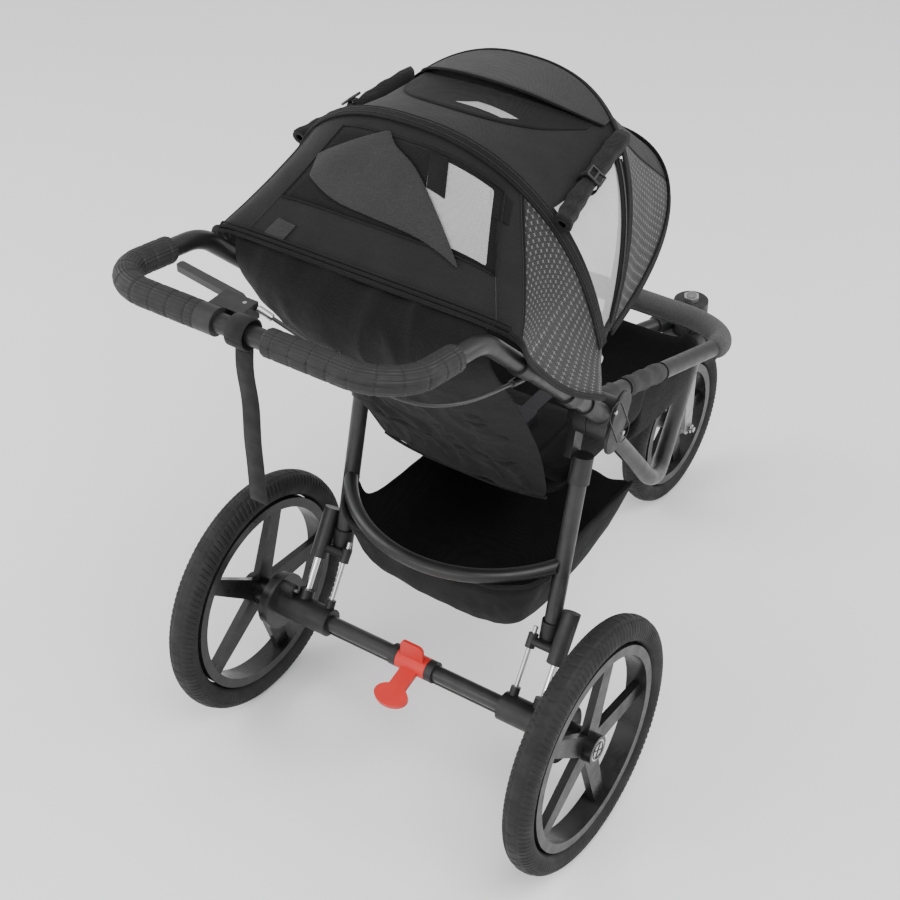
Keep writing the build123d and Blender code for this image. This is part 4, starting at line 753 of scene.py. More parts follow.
for side in (0, 1):
    label = ("left", "right")[side]

    def mirrored(s, side=side):
        return 1 - s if side else s

    steps = spread(0.02, 0.995, 40)
    quarter = [(mirrored(quarter_seam(t)), t) for t in steps]
    seam(f"quarter_piping_{label}", rear_place, quarter, (HEM, REAR), radius=0.0013)
    beside = [(mirrored(quarter_seam(t) + 0.006), t) for t in steps]
    seam(f"quarter_stitch_{label}", rear_place, beside, (HEM, REAR), radius=0.0004, look=THREAD)
    seam(f"visor_seam_{label}", visor_place, [(mirrored(0.285), t) for t in steps], (MID, FRONT),
            radius=0.001)
    zip_line = [(mirrored(s), 0.935) for s in spread(0.0, 0.235, 26)]
    edge_tape(f"zip_tape_{label}", top_place, zip_line, 0.016, (REAR, MID))
    seam(f"zip_teeth_{label}", top_place, zip_line, (REAR, MID), lift=0.0032, radius=0.0014, look=LEVER_BLACK)
    low_line = [(mirrored(s), 0.06) for s in spread(0.0, 0.235, 26)]
    edge_tape(f"net_tape_{label}", top_place, low_line, 0.012, (REAR, MID))
    edge_tape(f"net_hem_{label}", top_place, [(mirrored(0.004), t) for t in spread(0.02, 0.98, 14)],
            0.014, (REAR, MID))

# The rear window: a rectangular opening drawn on the panel as a dark sheet of painted shade, with net over it,
# outlined by binding.
WINDOW_S, WINDOW_T = (0.395, 0.655), (0.33, 0.86)


def raised(place, height):
    middle = Vector((0, 0.2, 0.72))

    def lifted(s, t):
        p = place(s, t)
        return p + (p - middle).normalized() * height

    return lifted


# A near-black sheet over the window area is painted shade: the dark inside of the canopy behind the net.
window_shade_sheet = cloth_patch("window_shadow", raised(rear_place, 0.0012), WINDOW_S, WINDOW_T, 16, 12, 0.0006,
        cut=(1, 0.28))
blend_canopy(place_cloth(window_shade_sheet, SHADE_AND_DARK_CLOTH), HEM, REAR)


def window_point(a, b, height=0.0028):
    """A point of the rear window: a across it, b up it, both 0 to 1."""
    s = WINDOW_S[0] + (WINDOW_S[1] - WINDOW_S[0]) * a
    t = WINDOW_T[0] + (WINDOW_T[1] - WINDOW_T[0]) * b
    return raised(rear_place, height)(s, t)


def window_patch(name, outline, look, height, puff=0.0, thick=0.0010):
    """A four-sided piece of cloth on the window, given by the (a, b) of its corners, with a slight billow."""
    (a0, b0), (a1, b1), (a2, b2), (a3, b3) = outline
    lines = []
    size = 14
    for r in range(size + 1):
        v = r / size
        line = []
        for c in range(size + 1):
            u = c / size
            a = (a0 * (1 - u) + a1 * u) * (1 - v) + (a3 * (1 - u) + a2 * u) * v
            b = (b0 * (1 - u) + b1 * u) * (1 - v) + (b3 * (1 - u) + b2 * u) * v
            line.append(window_point(a, b, height + puff * sin(pi * u) * sin(pi * v)))
        lines.append(line)
    piece = grid(name, lines)
    bpy.context.collection.objects.link(piece)
    thicken(piece, thick, subdivide=1)
    place_cloth(piece, look)
    return blend_canopy(piece, HEM, REAR)


window_patch("window_net", [(0.44, 0.06), (0.9, 0.03), (0.97, 0.95), (0.5, 0.97)], NET, 0.0026)
window_patch("window_flap", [(0.66, -0.16), (0.10, 0.32), (0.02, 0.62), (0.36, 1.08)], FLAP_CLOTH,
        0.0055, 0.010)
window_patch("window_flap_top", [(0.50, 0.98), (0.62, 0.99), (0.58, 0.55), (0.48, 0.60)], SHADE_AND_DARK_CLOTH,
        0.0040, 0.002)
window_patch("window_pad_right", [(0.93, 0.62), (1.12, 0.68), (1.14, 1.0), (0.92, 1.02)], SHADE_AND_DARK_CLOTH, 0.0016)
window_patch("pocket_tab", [(0.13, -0.50), (0.27, -0.54), (0.27, -0.30), (0.14, -0.27)], FLAP_CLOTH,
        0.0024, 0.001)
frame_points = [(0, 0), (1, -0.02), (1.06, 1.02), (0.02, 1.04), (0, 0)]
border = []
for (a0, b0), (a1, b1) in zip(frame_points, frame_points[1:]):
    for k in range(14):
        border.append(window_point(a0 + (a1 - a0) * k / 14, b0 + (b1 - b0) * k / 14, 0.0032))
edging = polyline_tube("window_binding", [border + [border[0]]], 0.0011, smooth=False)
bpy.context.collection.objects.link(edging)
blend_canopy(place_cloth(edging, PIPING), HEM, REAR)
pocket = []
pocket_points = [(-0.02, -0.62), (-0.03, 0.0), (1.0, -0.02), (1.03, -0.55), (0.9, -0.66)]
for (a0, b0), (a1, b1) in zip(pocket_points, pocket_points[1:]):
    for k in range(14):
        pocket.append(window_point(a0 + (a1 - a0) * k / 14, b0 + (b1 - b0) * k / 14, 0.0024))
pocket_seam = polyline_tube("pocket_stitching", [pocket], 0.0005, smooth=False)
bpy.context.collection.objects.link(pocket_seam)
blend_canopy(place_cloth(pocket_seam, THREAD), HEM, REAR)

# The vent: a crescent of cloth behind the mid bow whose free rear edge stands off the net below it, with
# painted shadow beneath that edge.
VENT = (0.30, 0.70)


def vent_place(s, t):
    """t runs from the free edge (0) up to the mid bow (1); the free edge is straight and lifted."""
    share = (s - VENT[0]) / (VENT[1] - VENT[0])
    reach = 0.56 + 0.34 * (2 * abs(share - 0.5)) ** 2.2
    base = top_place(s, reach + (0.985 - reach) * t)
    out = (base - PIVOT).normalized()
    return base + out * (0.004 + 0.011 * (1 - t) * sin(pi * share))


vent = cloth_patch("vent_flap", vent_place, VENT, (0.0, 1.0), 40, 10, 0.0016, cut=(1.05, 0.12))
blend_canopy(place_cloth(vent, FLAP_CLOTH), REAR, MID)


# A near-black sheet from under the flap's free edge down over the canopy is painted shadow: the shade under the
# vent flap and below its edge.
def vent_shadow_place(s, t):
    share = (s - VENT[0]) / (VENT[1] - VENT[0])
    reach = 0.56 + 0.34 * (2 * abs(share - 0.5)) ** 2.2
    base = top_place(s, reach - 0.30 * (1 - t) * (1 - (2 * abs(share - 0.5)) ** 3) + 0.04 * t)
    return base + (base - PIVOT).normalized() * 0.0016


vent_shadow = cloth_patch("vent_shadow_sheet", vent_shadow_place, (0.315, 0.685), (0.0, 1.0), 36, 8, 0.0008, cut=(1.05, 0.1))
blend_canopy(place_cloth(vent_shadow, SHADE_AND_DARK_CLOTH), REAR, MID)
seam("vent_edge", vent_place, [(s, 0.0) for s in spread(*VENT, 40)], (REAR, MID), radius=0.0014)


def vent_net_place(s, t):
    base = top_place(0.50 + 0.075 * s + 0.02 * t, 0.35 + 0.07 * t + 0.015 * s)
    return base + (base - PIVOT).normalized() * 0.0028


net_peek = cloth_patch("vent_net", vent_net_place, (0.0, 1.0), (0.0, 1.0), 10, 6, 0.0006, cut=(0.08, 0.03))
blend_canopy(place_cloth(net_peek, NET), REAR, MID)

# Each side window's flap, rolled up against its upper edge and held by a strap with a buckle.
for side in (0, 1):
    label = ("left", "right")[side]

    def at(s, t, side=side):
        return top_place(1 - s if side else s, t)

    line = [at(0.205 + 0.055 * t, 0.02 + 0.93 * t) for t in spread(0, 1, 26)]
    middle = PIVOT
    rows = []
    for k, centre in enumerate(line):
        ahead = (line[min(k + 1, 25)] - line[max(k - 1, 0)]).normalized()
        out = (centre - middle).normalized()
        turned = ahead.cross(out).normalized()
        pinch = 1 - 0.22 * math.exp(-((k - 12.5) / 2.2) ** 2)
        radius = 0.0125 * pinch * (0.94 + 0.06 * sin(k * 1.7 + side))
        row = []
        for m in range(22):
            turn = 2 * pi * m / 22
            swell = 1 + 0.05 * sin(3 * turn + k * 0.5) + (0.14 if m in (4, 5) else 0)
            row.append(centre + out * 0.010 + (turned * cos(turn) + out * sin(turn)) * radius * swell)
        rows.append(row)
    for end, inner in ((0, 0.45), (-1, 0.45)):
        core = sum(rows[end], Vector()) / len(rows[end])
        ring = [core + (p - core) * inner for p in rows[end]]
        rows.insert(0, ring) if end == 0 else rows.append(ring)
    roll = grid(f"rolled_flap_{label}", rows, closed=True)
    bpy.context.collection.objects.link(roll)
    thicken(roll, 0.0014)
    blend_canopy(place_cloth(roll, PAD_CLOTH), REAR, MID)
    centre, ahead = line[13] + (line[13] - middle).normalized() * 0.010, (line[14] - line[12]).normalized()
    out = (line[13] - middle).normalized()
    turned = ahead.cross(out).normalized()
    loop = [centre + (turned * cos(v) + out * sin(v)) * 0.0142 for v in spread(0, 2 * pi, 30)]
    strap = ribbon(f"flap_strap_{label}", loop, ahead, 0.011, 0.0016)
    bpy.context.collection.objects.link(strap)
    blend_canopy(place_cloth(strap, PIPING), REAR, MID)
    corners = [(-0.009, -0.011), (0.009, -0.011), (0.009, 0.011), (-0.009, 0.011), (-0.009, -0.011)]
    top = centre + out * 0.0165
    frame_line = [top + ahead * a + turned * b for a, b in corners]
    buckle = polyline_tube(f"flap_buckle_{label}", [frame_line, [top - ahead * 0.009,
            top + ahead * 0.009]], 0.0019, False)
    bpy.context.collection.objects.link(buckle)
    blend_canopy(place_cloth(buckle, LEVER_BLACK), REAR, MID)

# A small oval tab near the crown of the visor.
tab_rows = []
for ring_share in (0.0, 0.35, 0.7, 0.9, 1.0):
    row = []
    for k in range(28):
        turn = 2 * pi * k / 28
        s = 0.47 + 0.028 * ring_share * cos(turn)
        t = 0.085 + 0.05 * ring_share * sin(turn)
        p = visor_place(s, t)
        row.append(p + (p - PIVOT).normalized() * (0.0035 * (1 - ring_share ** 3) + 0.001))
    tab_rows.append(row)
crown_tab = grid("crown_tab", tab_rows, closed=True)
bpy.context.collection.objects.link(crown_tab)
thicken(crown_tab, 0.0012)
blend_canopy(place_cloth(crown_tab, SHADE_AND_DARK_CLOTH), MID, FRONT)


# ---- padded and hanging cloth: cushion, backrest, ring pad, sling, footwell, basket ------------------
def superellipse(half_width, half_height, count, power=2.6):
    points = []
    for k in range(count):
        turn = 2 * pi * k / count
        x = half_width * math.copysign(abs(cos(turn)) ** (2 / power), cos(turn))
        y = half_height * math.copysign(abs(sin(turn)) ** (2 / power), sin(turn))
        points.append((x, y))
    return points


def closed_loft(name, rows):
    """A closed skin through rings of points, with both ends filled."""
    obj = grid(name, rows, closed=True)
    builder = bmesh.new()
    builder.from_mesh(obj.data)
    builder.verts.ensure_lookup_table()
    width, total = len(rows[0]), len(builder.verts)
    builder.faces.new([builder.verts[k] for k in range(width)])
    builder.faces.new([builder.verts[total - 1 - k] for k in range(width)])
    bmesh.ops.recalc_face_normals(builder, faces=builder.faces)
    builder.to_mesh(obj.data)
    builder.free()
    bpy.context.collection.objects.link(obj)
    return obj


def puffed(obj, cap, voxel=0.006, pressure=4.0):
    """Padded cloth: the closed shape is remeshed and blown up by a short cloth simulation, within a cap."""
    remesh = obj.modifiers.new("remesh", "REMESH")
    remesh.mode = "VOXEL"
    remesh.voxel_size = voxel
    baked(obj)
    start = [v.co.copy() for v in obj.data.vertices]
    soft = obj.modifiers.new("cloth", "CLOTH")
    soft.settings.use_pressure = True
    soft.settings.uniform_pressure_force = pressure
    soft.settings.effector_weights.gravity = 0
    soft.settings.quality = 5
    soft.settings.mass = 0.3
    soft.settings.tension_stiffness = 12
    soft.settings.compression_stiffness = 12
    soft.settings.bending_stiffness = 0.4
    soft.point_cache.frame_start = 1
    soft.point_cache.frame_end = 20
    for frame_number in range(1, 21):
        bpy.context.scene.frame_set(frame_number)
    ready = obj.evaluated_get(bpy.context.evaluated_depsgraph_get())
    moved = [v.co.copy() for v in ready.to_mesh().vertices]
    ready.to_mesh_clear()
    obj.modifiers.clear()
    for vertex, old, new in zip(obj.data.vertices, start, moved):
        step = new - old
        vertex.co = old + (step if step.length <= cap else step.normalized() * cap)
    bpy.context.scene.frame_set(1)
    return thicken(obj, 0, subdivide=1)


def pinched(obj, lines, width, depth):
    """Sewn channels: the skin is drawn in along each line, given as a test of how far a point is from it."""
    normals = [v.normal.copy() for v in obj.data.vertices]
    for vertex, normal in zip(obj.data.vertices, normals):
        for distance in lines:
            near = distance(vertex.co)
            if near < 3 * width:
                vertex.co -= normal * depth * math.exp(-((near / width) ** 2))
    obj.data.update()
    return obj


def creased(obj, amount, scale, seed=0.0, where=lambda p: 1.0):
    """Loose cloth: ridged folds along the normals."""
    normals = [v.normal.copy() for v in obj.data.vertices]
    for vertex, normal in zip(obj.data.vertices, normals):
        place = vertex.co * scale + Vector((seed, 0, 0))
        ridge = 1 - abs(noise.noise(Vector((place.x * 1.6, place.y, place.z * 0.55)))) * 2
        fine = noise.noise(place * 2.7) * 0.35
        vertex.co += normal * amount * (ridge - 0.6 + fine) * where(vertex.co)
    obj.data.update()
    return obj


CREASE = Vector((0, 0.152, 0.470))
BACK_UP = Vector((0, 0.252, 0.386)).normalized()
BACK_OUT = Vector((0, -BACK_UP.z, BACK_UP.y))
BACK_LENGTH = 0.461


def back_point(x, up, out):
    return CREASE + Vector((x, 0, 0)) + BACK_UP * up + BACK_OUT * out


back_rows = []
for k in range(41):
    share = k / 40
    up = 0.022 + (BACK_LENGTH - 0.027) * share
    ends = min(1.0, (1 - (2 * share - 1) ** 8) ** 0.5 + 0.12)
    half = (0.140 + 0.008 * sin(pi * share)) * (0.86 + 0.14 * ends) - 0.012 * max(0, share - 0.75) * 4
    back_rows.append([back_point(x, up, out) for x, out in superellipse(half, 0.0085 * ends + 0.001, 56, 4)])
backrest = puffed(closed_loft("backrest_pad", back_rows), 0.007)
channels = [lambda p, x=x: abs(p.x - x) for x in (-0.088, 0.088)]
channels += [lambda p, u=u: abs((p - CREASE).dot(BACK_UP) - u) for u in (0.15, 0.29)]
pinched(backrest, channels, 0.004, 0.0022)
creased(backrest, 0.0045, 16, 3.0, lambda p: 1.0 if (p - CREASE).dot(BACK_OUT) < 0 else 0.25)
place_cloth(backrest, SEAT_CLOTH)
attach(backrest, "seat_back")
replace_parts(backrest, "backrest")

cushion_rows = []
for k in range(29):
    share = k / 28
    ends = min(1.0, (1 - (2 * share - 1) ** 8) ** 0.5 + 0.12)
    y = -0.051 + 0.170 * share
    half = 0.140 * (0.93 + 0.07 * ends)
    cushion_rows.append([Vector((x, y, 0.4675 + z)) for x, z in superellipse(half,
            0.0055 * ends + 0.001, 56, 4)])
cushion = puffed(closed_loft("seat_cushion_pad", cushion_rows), 0.006)
pinched(cushion, [lambda p, x=x: abs(p.x - x) for x in (-0.07, 0.07)], 0.004, 0.002)
place_cloth(cushion, PAD_CLOTH)
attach(cushion, "base_frame")
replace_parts(cushion, "seat_cushion")

# The grab-rail pad round the front of the seat ring, on the ring's own line.
SLOPE = radians(17.9)


def ring_point(x, y, out=0.0):
    return Vector((x, y, 0.640 + (y - 0.112) * math.tan(SLOPE) + out))


def ring_line(start_y, count=60):
    """The seat ring's centre line from start_y on the left, round the front, to start_y on the right."""
    corner = 0.105
    path = []
    for k in range(count):
        path.append((0.187 - 0.0035 * (start_y + 0.338 - (start_y + 0.338 - corner) * k / count) / 0.2,
                     start_y - (start_y + 0.338 - corner) * k / count))
    for k in range(count + 1):
        turn = (pi / 2) * k / count
        path.append((0.187 - corner + corner * cos(turn), -0.338 + corner - corner * sin(turn)))
    whole = path + [(-x, y) for x, y in reversed(path)]
    return [ring_point(x, y) for x, y in whole]


pad_line = along(ring_line(-0.230), 91)
pad_rows = []
for k, (centre, ahead) in enumerate(pad_line):
    side = ahead.cross(Vector((0, -sin(SLOPE), cos(SLOPE)))).normalized()
    out = side.cross(ahead).normalized()
    ends = min(1.0, 0.74 + 0.26 * min(k, 90 - k) / 3)
    swell = 0.0182 * ends
    pad_rows.append([centre + side * a + out * b for a, b in superellipse(swell, swell, 30, 2)])
ring_pad = puffed(closed_loft("grab_rail_pad", pad_rows), 0.004, voxel=0.005)
place_cloth(ring_pad, RING_CLOTH)
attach(ring_pad, "base_frame")
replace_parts(ring_pad, "ring_pad")
rail_zip = [c + Vector((0, 0, -0.0225)) for c, _ in pad_line[3:-3]]
link(polyline_tube("grab_rail_zip", [rail_zip], 0.0016), "base_frame", LEVER_BLACK)

for side in (-1, 1):
    label = "left" if side > 0 else "right"
    start, end = ring_point(0, 0.044), ring_point(0, -0.070)
    rows = []
    for k in range(33):
        share = k / 32
        base = start.lerp(end, share)
        x = side * (0.180 + 0.007 * (0.112 - base.y) / 0.45)
        swell = 0.0146 + 0.0009 * sin(share * 19 + side) - (0.001 if k in (1, 2, 30, 31) else 0)
        ring = []
        for m in range(28):
            turn = 2 * pi * m / 28
            ripple = 0.0006 * noise.noise(Vector((share * 12, cos(turn) * 2, sin(turn) * 2 + side)))
            around = Vector((cos(turn), 0, 0)) + Vector((0, -sin(SLOPE), cos(SLOPE))) * sin(turn)
            ring.append(Vector((x, base.y, base.z)) + around * (swell + ripple))
        rows.append(ring)
    sleeve_cloth = closed_loft(f"ring_sleeve_{label}", rows)
    thicken(sleeve_cloth, 0, subdivide=1)
    place_cloth(sleeve_cloth, SLEEVE_CLOTH)
    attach(sleeve_cloth, "base_frame")
    if side > 0:
        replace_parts(sleeve_cloth, "ring_sleeves")
    trims = [[p for p in rows[k]] + [rows[k][0]] for k in (1, 31)]
    link(polyline_tube(f"sleeve_trim_{label}", trims, 0.0016), "base_frame", PIPING)


# The seat back's outer cover: loose cloth stretched between the handle tubes,
# from under the hem to the crease.
COVER_LINE = [(0.404, 0.9305, 0.192), (0.412, 0.900, 0.192), (0.398, 0.858, 0.192), (0.368, 0.818, 0.190)]
COVER_LINE += [(0.335, 0.772, 0.186), (0.300, 0.718, 0.180)]
COVER_LINE += [(0.264, 0.662, 0.172), (0.230, 0.604, 0.163), (0.200, 0.546, 0.152), (0.176, 0.492, 0.140)]
cover_rows = []
for index, (y, z, half) in enumerate(COVER_LINE):
    v = index / (len(COVER_LINE) - 1)
    row = []
    for k in range(37):
        a = 2 * k / 36 - 1
        belly = (1 - abs(a) ** 3.0) * (0.030 + 0.012 * sin(pi * v)) * min(1,
                1.25 - 0.9 * v) * (0.08 + 0.92 * min(1, 6 * v))
        row.append(Vector((a * half, y + belly, z - 0.35 * belly)))
    cover_rows.append(row)
seat_cover = grid("seat_back_cover", cover_rows)
bpy.context.collection.objects.link(seat_cover)
thicken(seat_cover, 0, subdivide=2)
creased(seat_cover, 0.0050, 13, 21.0, lambda p: min(1.0, 12 * max(0.0, 0.19 - abs(p.x))))
thicken(seat_cover, 0.0022)
place_cloth(seat_cover, SEAT_CLOTH)
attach(seat_cover, "upper_frame")
cover_edges = [[p + Vector((0, 0.001, 0.001)) for p in cover_rows[0]]]
cover_edges.append([p + Vector((0, 0.001, -0.001)) for p in cover_rows[-1]])
link(polyline_tube("seat_cover_binding", cover_edges, 0.0024), "upper_frame", PIPING)
toggle = [Vector((-0.004, 0.449, 0.842)), Vector((0.012, 0.463, 0.836))]
link(polyline_tube("recline_toggle", [toggle], 0.0075, False), "upper_frame", LEVER_BLACK)
toggle_rings = [[Vector((0.001, 0.4535, 0.8405)), Vector((0.003, 0.4550, 0.8398))]]
link(polyline_tube("recline_toggle_ring", toggle_rings, 0.0083, False), "upper_frame", STEEL)


def hung_shell(name, rows, thickness, material, body=None):
    """A hanging cloth shell through rows of points, thickened and smoothed."""
    obj = grid(name, rows)
    bpy.context.collection.objects.link(obj)
    thicken(obj, 0, subdivide=1)
    if thickness:
        thicken(obj, thickness)
    place_cloth(obj, material)
    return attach(obj, body) if body else obj


def trough_row(y, rim_x, rim_z, floor_z, half, count=29, power=4.5, lean=0.0):
    """One U-shaped section across the frame, from rim to rim."""
    row = []
    for k in range(count):
        a = 2 * k / (count - 1) - 1
        turn = a * pi / 2
        x = math.copysign(abs(sin(turn)) ** (2 / power), a) * half
        depth = abs(cos(turn)) ** (2 / power)
        high = 1 - depth
        row.append(Vector((x + (rim_x - half) * high * (1 if a > 0 else -1), y + lean * depth,
                           rim_z + (floor_z - rim_z) * depth)))
    return row


sling_rows = []
for k in range(15):
    y = -0.060 + 0.188 * k / 14
    rail = 0.640 + (y - 0.112) * math.tan(SLOPE)
    sling_rows.append(trough_row(y, 0.166, rail - 0.012, 0.4515 - 0.006 * (k / 14), 0.1535))
sling = hung_shell("seat_sling_cloth", sling_rows, 0.003, SEAT_CLOTH, "base_frame")
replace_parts(sling, "seat_sling")

well_sections = [(-0.063, 0.452, 0.152), (-0.066, 0.420, 0.152), (-0.076, 0.402, 0.151), (-0.110,
        0.397, 0.151)]
well_sections += [(-0.160, 0.396, 0.151), (-0.215, 0.396, 0.149), (-0.255, 0.400, 0.143), (-0.280,
        0.412, 0.130)]
well_sections += [(-0.297, 0.438, 0.112), (-0.306, 0.468, 0.092)]
well_rows = []
for y, floor_z, half in well_sections:
    rim_y = ring_point(0, y).z - 0.018
    rim_x = half + 0.008
    well_rows.append(trough_row(y, rim_x, rim_y, floor_z, half, lean=0.0))
well = hung_shell("footwell_cloth", well_rows, 0.003, SEAT_CLOTH, "base_frame")
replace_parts(well, "footwell")

# The basket: one bowl of cloth from the front lip, round the bottom, to the crossbar it hangs from.
BASKET_LINE = [(-0.068, 0.350), (-0.062, 0.318), (-0.035, 0.276), (0.012, 0.248), (0.075, 0.238)]
BASKET_LINE += [(0.140, 0.236), (0.196, 0.242), (0.236, 0.262), (0.262, 0.298), (0.280, 0.344), (0.294,
        0.392)]
basket_rows = []
for index, (y, z) in enumerate(BASKET_LINE):
    v = index / (len(BASKET_LINE) - 1)
    row = []
    for k in range(41):
        a = 2 * k / 40 - 1
        side = math.copysign(1, a)
        bow = 0.098 * abs(a) ** 2.2 * v ** 2.5
        shape = abs(cos(a * pi / 2)) ** (2 / 3.6)
        rim_z = 0.362 + 0.020 * v + 0.018 * v ** 6
        half = 0.150 + 0.030 * v ** 5
        x = side * abs(sin(a * pi / 2)) ** (2 / 3.6) * half * (1 - 0.08 * shape * (1 - v))
        rim_y = y if v < 0.5 else y - bow
        sag = 0.006 * noise.noise(Vector((a * 3.5, v * 4, 5.0))) * shape
        row.append(Vector((x, rim_y, rim_z + (z - rim_z) * shape + sag)))
    basket_rows.append(row)
basket = hung_shell("basket_cloth", basket_rows, 0.003, SEAT_CLOTH)
creased(basket, 0.0022, 14, 8.0)
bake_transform(basket)
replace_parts(basket, "basket_tub", "basket_rear_panel")
rim = [p + Vector((0, 0.0, 0.002)) for p in basket_rows[-1]]
link(polyline_tube("basket_rear_hem", [rim], 0.0032), "leg_frame", PIPING)



# ---- harness, shoulder straps, wrist strap -----------------------------------------------------------
for side in (-1, 1):
    label = "left" if side > 0 else "right"
    centres = [back_point(side * 0.052, up, 0.0158 + 0.0012 * sin(up * 40)) for up in spread(0.155,
            0.375, 24)]
    strap = ribbon(f"shoulder_strap_{label}", centres, Vector((1, 0, 0)), 0.026, 0.0024)
    link(strap, "seat_back", WEBBING)
    pad = [back_point(side * 0.052, up, 0.0205) for up in spread(0.24, 0.37, 16)]
    link(ribbon(f"strap_pad_{label}", pad, Vector((1, 0, 0)), 0.034, 0.007, 0.003), "seat_back",
            PAD_CLOTH)
    if side > 0:
        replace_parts(strap, "shoulder_straps")

WRIST_LINE = [(0.621, 0.9525), (0.621, 0.93), (0.622, 0.86), (0.6215, 0.80), (0.6205, 0.758), (0.621, 0.727)]
hang = along([Vector((0, y, z)) for y, z in WRIST_LINE], 30)
strap_points = [p + Vector((0.0015 * sin(k * 0.35), 0.0012 * sin(k * 0.5), 0)) for k, (p,
        _) in enumerate(hang)]
wrist = ribbon("wrist_strap_webbing", strap_points, Vector((1, 0, 0)), 0.026, 0.0034)
link(wrist, "upper_frame", WEBBING)
loop = []
for k in range(34):
    turn = 2 * pi * k / 33
    loop.append(Vector((0, 0.621 + 0.0187 * cos(turn), 0.973 + 0.0187 * sin(turn))))
wrap = ribbon("wrist_strap_loop", loop, Vector((1, 0, 0)), 0.026, 0.0022)
link(wrap, "upper_frame", WEBBING)
stitch_box = [(-0.009, 0.945), (0.009, 0.945), (0.009, 0.928), (-0.009, 0.928), (-0.009, 0.945),
        (0.009, 0.928)]
stitches = [[Vector((x, 0.621 + off, z)) for x, z in stitch_box] for off in (0.0021, -0.0021)]
link(polyline_tube("wrist_strap_stitching", stitches, 0.0004, False), "upper_frame", THREAD)
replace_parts(wrist, "wrist_strap")


# ---- tyres with moulded tread, hub details, handlebar grips ------------------------------------------
def tread_depth(across, around, pitch_count):
    """How far the tread is cut in (0 to 1), across the crown (-1 to 1) and round the wheel (0 to 1)."""
    skew = 0.9 * abs(across)
    phase = (around * pitch_count + skew) % 1.0
    cut = 1.0 if phase < 0.30 else 0.0
    if abs(abs(across) - 0.30) < 0.05 or abs(abs(across) - 0.66) < 0.045:
        cut = 1.0
    if abs(across) < 0.25:
        phase = (around * pitch_count * 0.5 + 0.35 * across) % 1.0
        cut = 0.8 if phase < 0.2 else 0.0
    return cut


def tyre(name, middle_x, axle, radius, rim_radius, width, pitch_count, body, node):
    ring = 34
    steps = pitch_count * 5
    centre_radius = (radius + rim_radius) / 2
    high, wide = (radius - rim_radius) / 2, width / 2
    rows = []
    for step in range(steps):
        around = step / steps
        spin = 2 * pi * around
        outward = Vector((0, cos(spin), sin(spin)))
        row = []
        for k in range(ring):
            turn = 2 * pi * k / ring
            lift = cos(turn)
            across = sin(turn)
            cut = 0.0
            if lift > 0.12:
                cut = 0.0011 * tread_depth(across * (1.06 - 0.2 * lift), around, pitch_count)
            elif lift > -0.45:
                cut = 0.00035 * (1 + sin(spin * pitch_count * 2))
            shape = math.copysign(abs(across) ** 0.85, across)
            rise = lift * (high - (cut if lift > 0 else 0))
            side = shape * (wide - (cut if abs(across) > 0.5 else 0) - 0.0002)
            row.append(axle + Vector((middle_x + side, 0, 0)) + outward * (centre_radius + rise))
        rows.append(row)
    rows.append(rows[0])
    obj = grid(name, rows, closed=True)
    builder = bmesh.new()
    builder.from_mesh(obj.data)
    bmesh.ops.remove_doubles(builder, verts=builder.verts, dist=1e-6)
    bmesh.ops.recalc_face_normals(builder, faces=builder.faces)
    builder.to_mesh(obj.data)
    builder.free()
    for polygon in obj.data.polygons:
        polygon.use_smooth = False
    link(obj, body, RUBBER)
    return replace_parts(obj, node)


REAR_AXLE = Vector((0, 0.312, 0.200))
NOSE_AXLE = Vector((0, -0.4885, 0.152))
tyre("tyre_left", 0.298, REAR_AXLE, 0.1998, 0.1612, 0.045, 132, "left_wheel", "rear_tyre_left")
tyre("tyre_right", -0.298, REAR_AXLE, 0.1998, 0.1612, 0.045, 132, "right_wheel", "rear_tyre_right")
tyre("tyre_nose", 0.0, NOSE_AXLE, 0.1518, 0.1162, 0.042, 100, "nose_wheel", "front_tyre")


def circle(centre, radius, count=40, phase=0.0):
    turns = [2 * pi * k / count + phase for k in range(count + 1)]
    return [centre + Vector((0, radius * cos(t), radius * sin(t))) for t in turns]


for side in (-1, 1):
    label = "left" if side > 0 else "right"
    face = REAR_AXLE + Vector((side * 0.3183, 0, 0))
    arms = []
    for k in range(2):
        arm = Vector((0, cos(k * pi / 2 + 0.5), sin(k * pi / 2 + 0.5)))
        arms.append([face - arm * 0.0125, face + arm * 0.0125])
    marks = polyline_tube(f"cap_cross_{label}", arms + [circle(face, 0.0135)], 0.0009, False)
    link(marks, f"{label}_cap", LEVER_BLACK)
    rings = [circle(REAR_AXLE + Vector((side * 0.3135, 0, 0)), r) for r in (0.0205,)]
    link(polyline_tube(f"hub_ring_{label}", rings, 0.0012, False), f"{label}_wheel", STEEL)
    valve = [REAR_AXLE + Vector((side * 0.298, 0.146 * cos(1.9), 0.146 * sin(1.9)))]
    valve.append(REAR_AXLE + Vector((side * 0.298, 0.118 * cos(1.9), 0.118 * sin(1.9))))
    link(polyline_tube(f"valve_{label}", [valve], 0.003, False), f"{label}_wheel", LEVER_BLACK)

HANDLE_RISE = math.atan2(0.031, 0.171)
HANDLE_AHEAD = Vector((0, cos(HANDLE_RISE), sin(HANDLE_RISE)))
HANDLE_TOP = Vector((0, 0.621, 0.973))


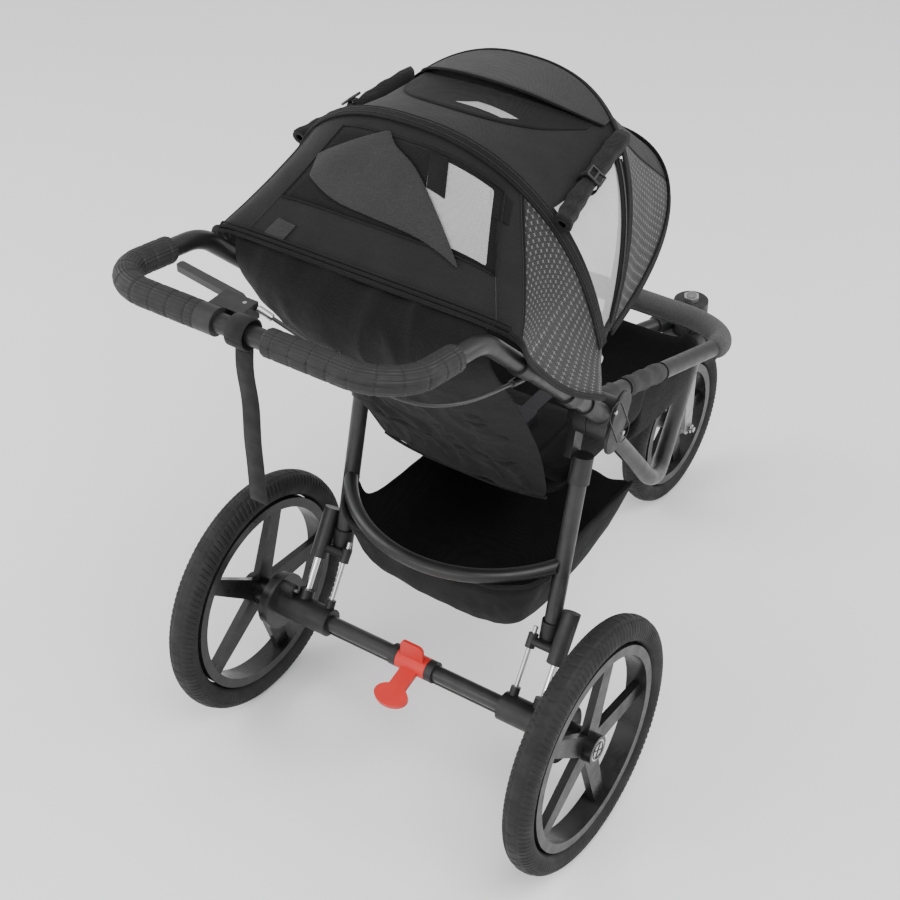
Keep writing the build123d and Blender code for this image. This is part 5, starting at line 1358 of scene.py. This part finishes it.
def grip(name, side, inner_x, node=None):
    """Foam grip from the side tube round the corner to inner_x, with a groove every 25 mm and fine ribs."""
    radius = 0.065
    run = []
    reach = (0.621 - 0.508) / cos(HANDLE_RISE)
    for k in range(8):
        ahead = HANDLE_AHEAD * (reach + (radius - reach) * k / 8)
        run.append(HANDLE_TOP - ahead + Vector((side * 0.212, 0, 0)))
    centre = HANDLE_TOP - HANDLE_AHEAD * radius + Vector((side * (0.212 - radius), 0, 0))
    for k in range(17):
        t = (pi / 2) * k / 16
        run.append(centre + Vector((side * radius * cos(t), 0, 0)) + HANDLE_AHEAD * radius * sin(t))
    run.append(HANDLE_TOP + Vector((side * inner_x, 0, 0)))
    length = sum((b - a).length for a, b in zip(run, run[1:]))
    count = int(length / 0.0013)
    path = along(run, count)
    normal = HANDLE_AHEAD.cross(Vector((1, 0, 0))).normalized()
    ring = 40
    rows, flat = [], []
    for k, (point, ahead) in enumerate(path):
        place = length * k / (count - 1)
        groove = math.exp(-(((place % 0.0262) - 0.0131) / 0.0010) ** 2)
        end = min(place, length - place)
        shrink = 0.0012 * max(0.0, 1 - end / 0.002)
        size = 0.0175 - 0.0018 * groove - shrink
        out = ahead.cross(normal).normalized()
        row = []
        for m in range(ring):
            turn = 2 * pi * m / ring
            rib = 0.00018 * cos(m * pi)
            row.append(point + (out * cos(turn) + normal * sin(turn)) * (size + rib))
            flat.append((place, m / ring))
        rows.append(row)
    obj = grid(name, rows, closed=True)
    layer = obj.data.uv_layers.new(name="cut")
    for loop in obj.data.loops:
        layer.data[loop.index].uv = flat[loop.vertex_index]
    link(obj, "upper_frame", GRIP)
    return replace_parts(obj, node) if node else obj


grip("grip_left", 1, 0.0625, "handle_grips")
grip("grip_right", -1, 0.0355)

# A raised rim round each hinge cover.
cover_low, cover_high = (Vector(corner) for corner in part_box("hinge_covers"))
for side in (-1, 1):
    label = "left" if side > 0 else "right"
    x = side * (cover_high.x + 0.0004)
    middle = Vector((x, (cover_low.y + cover_high.y) / 2, (cover_low.z + cover_high.z) / 2))
    lean = radians(64)
    rim_line = []
    for k in range(61):
        turn = 2 * pi * k / 60
        wide = 0.0165
        u = math.copysign(0.025, cos(turn)) + wide * cos(turn)
        v = wide * sin(turn)
        rim_line.append(middle + Vector((0, u * cos(lean) - v * sin(lean), u * sin(lean) + v * cos(lean))))
    link(polyline_tube(f"cover_rim_{label}", [rim_line], 0.0008, False), "upper_frame", LEVER_BLACK)
    screws = []
    for offset in (-0.027, 0.027):
        seat = middle + Vector((0, offset * cos(lean), offset * sin(lean)))
        screws.append([seat + Vector((side * -0.001, 0, 0)), seat + Vector((side * 0.0012, 0, 0))])
    link(polyline_tube(f"cover_screws_{label}", screws, 0.0032, False), "upper_frame", STEEL)
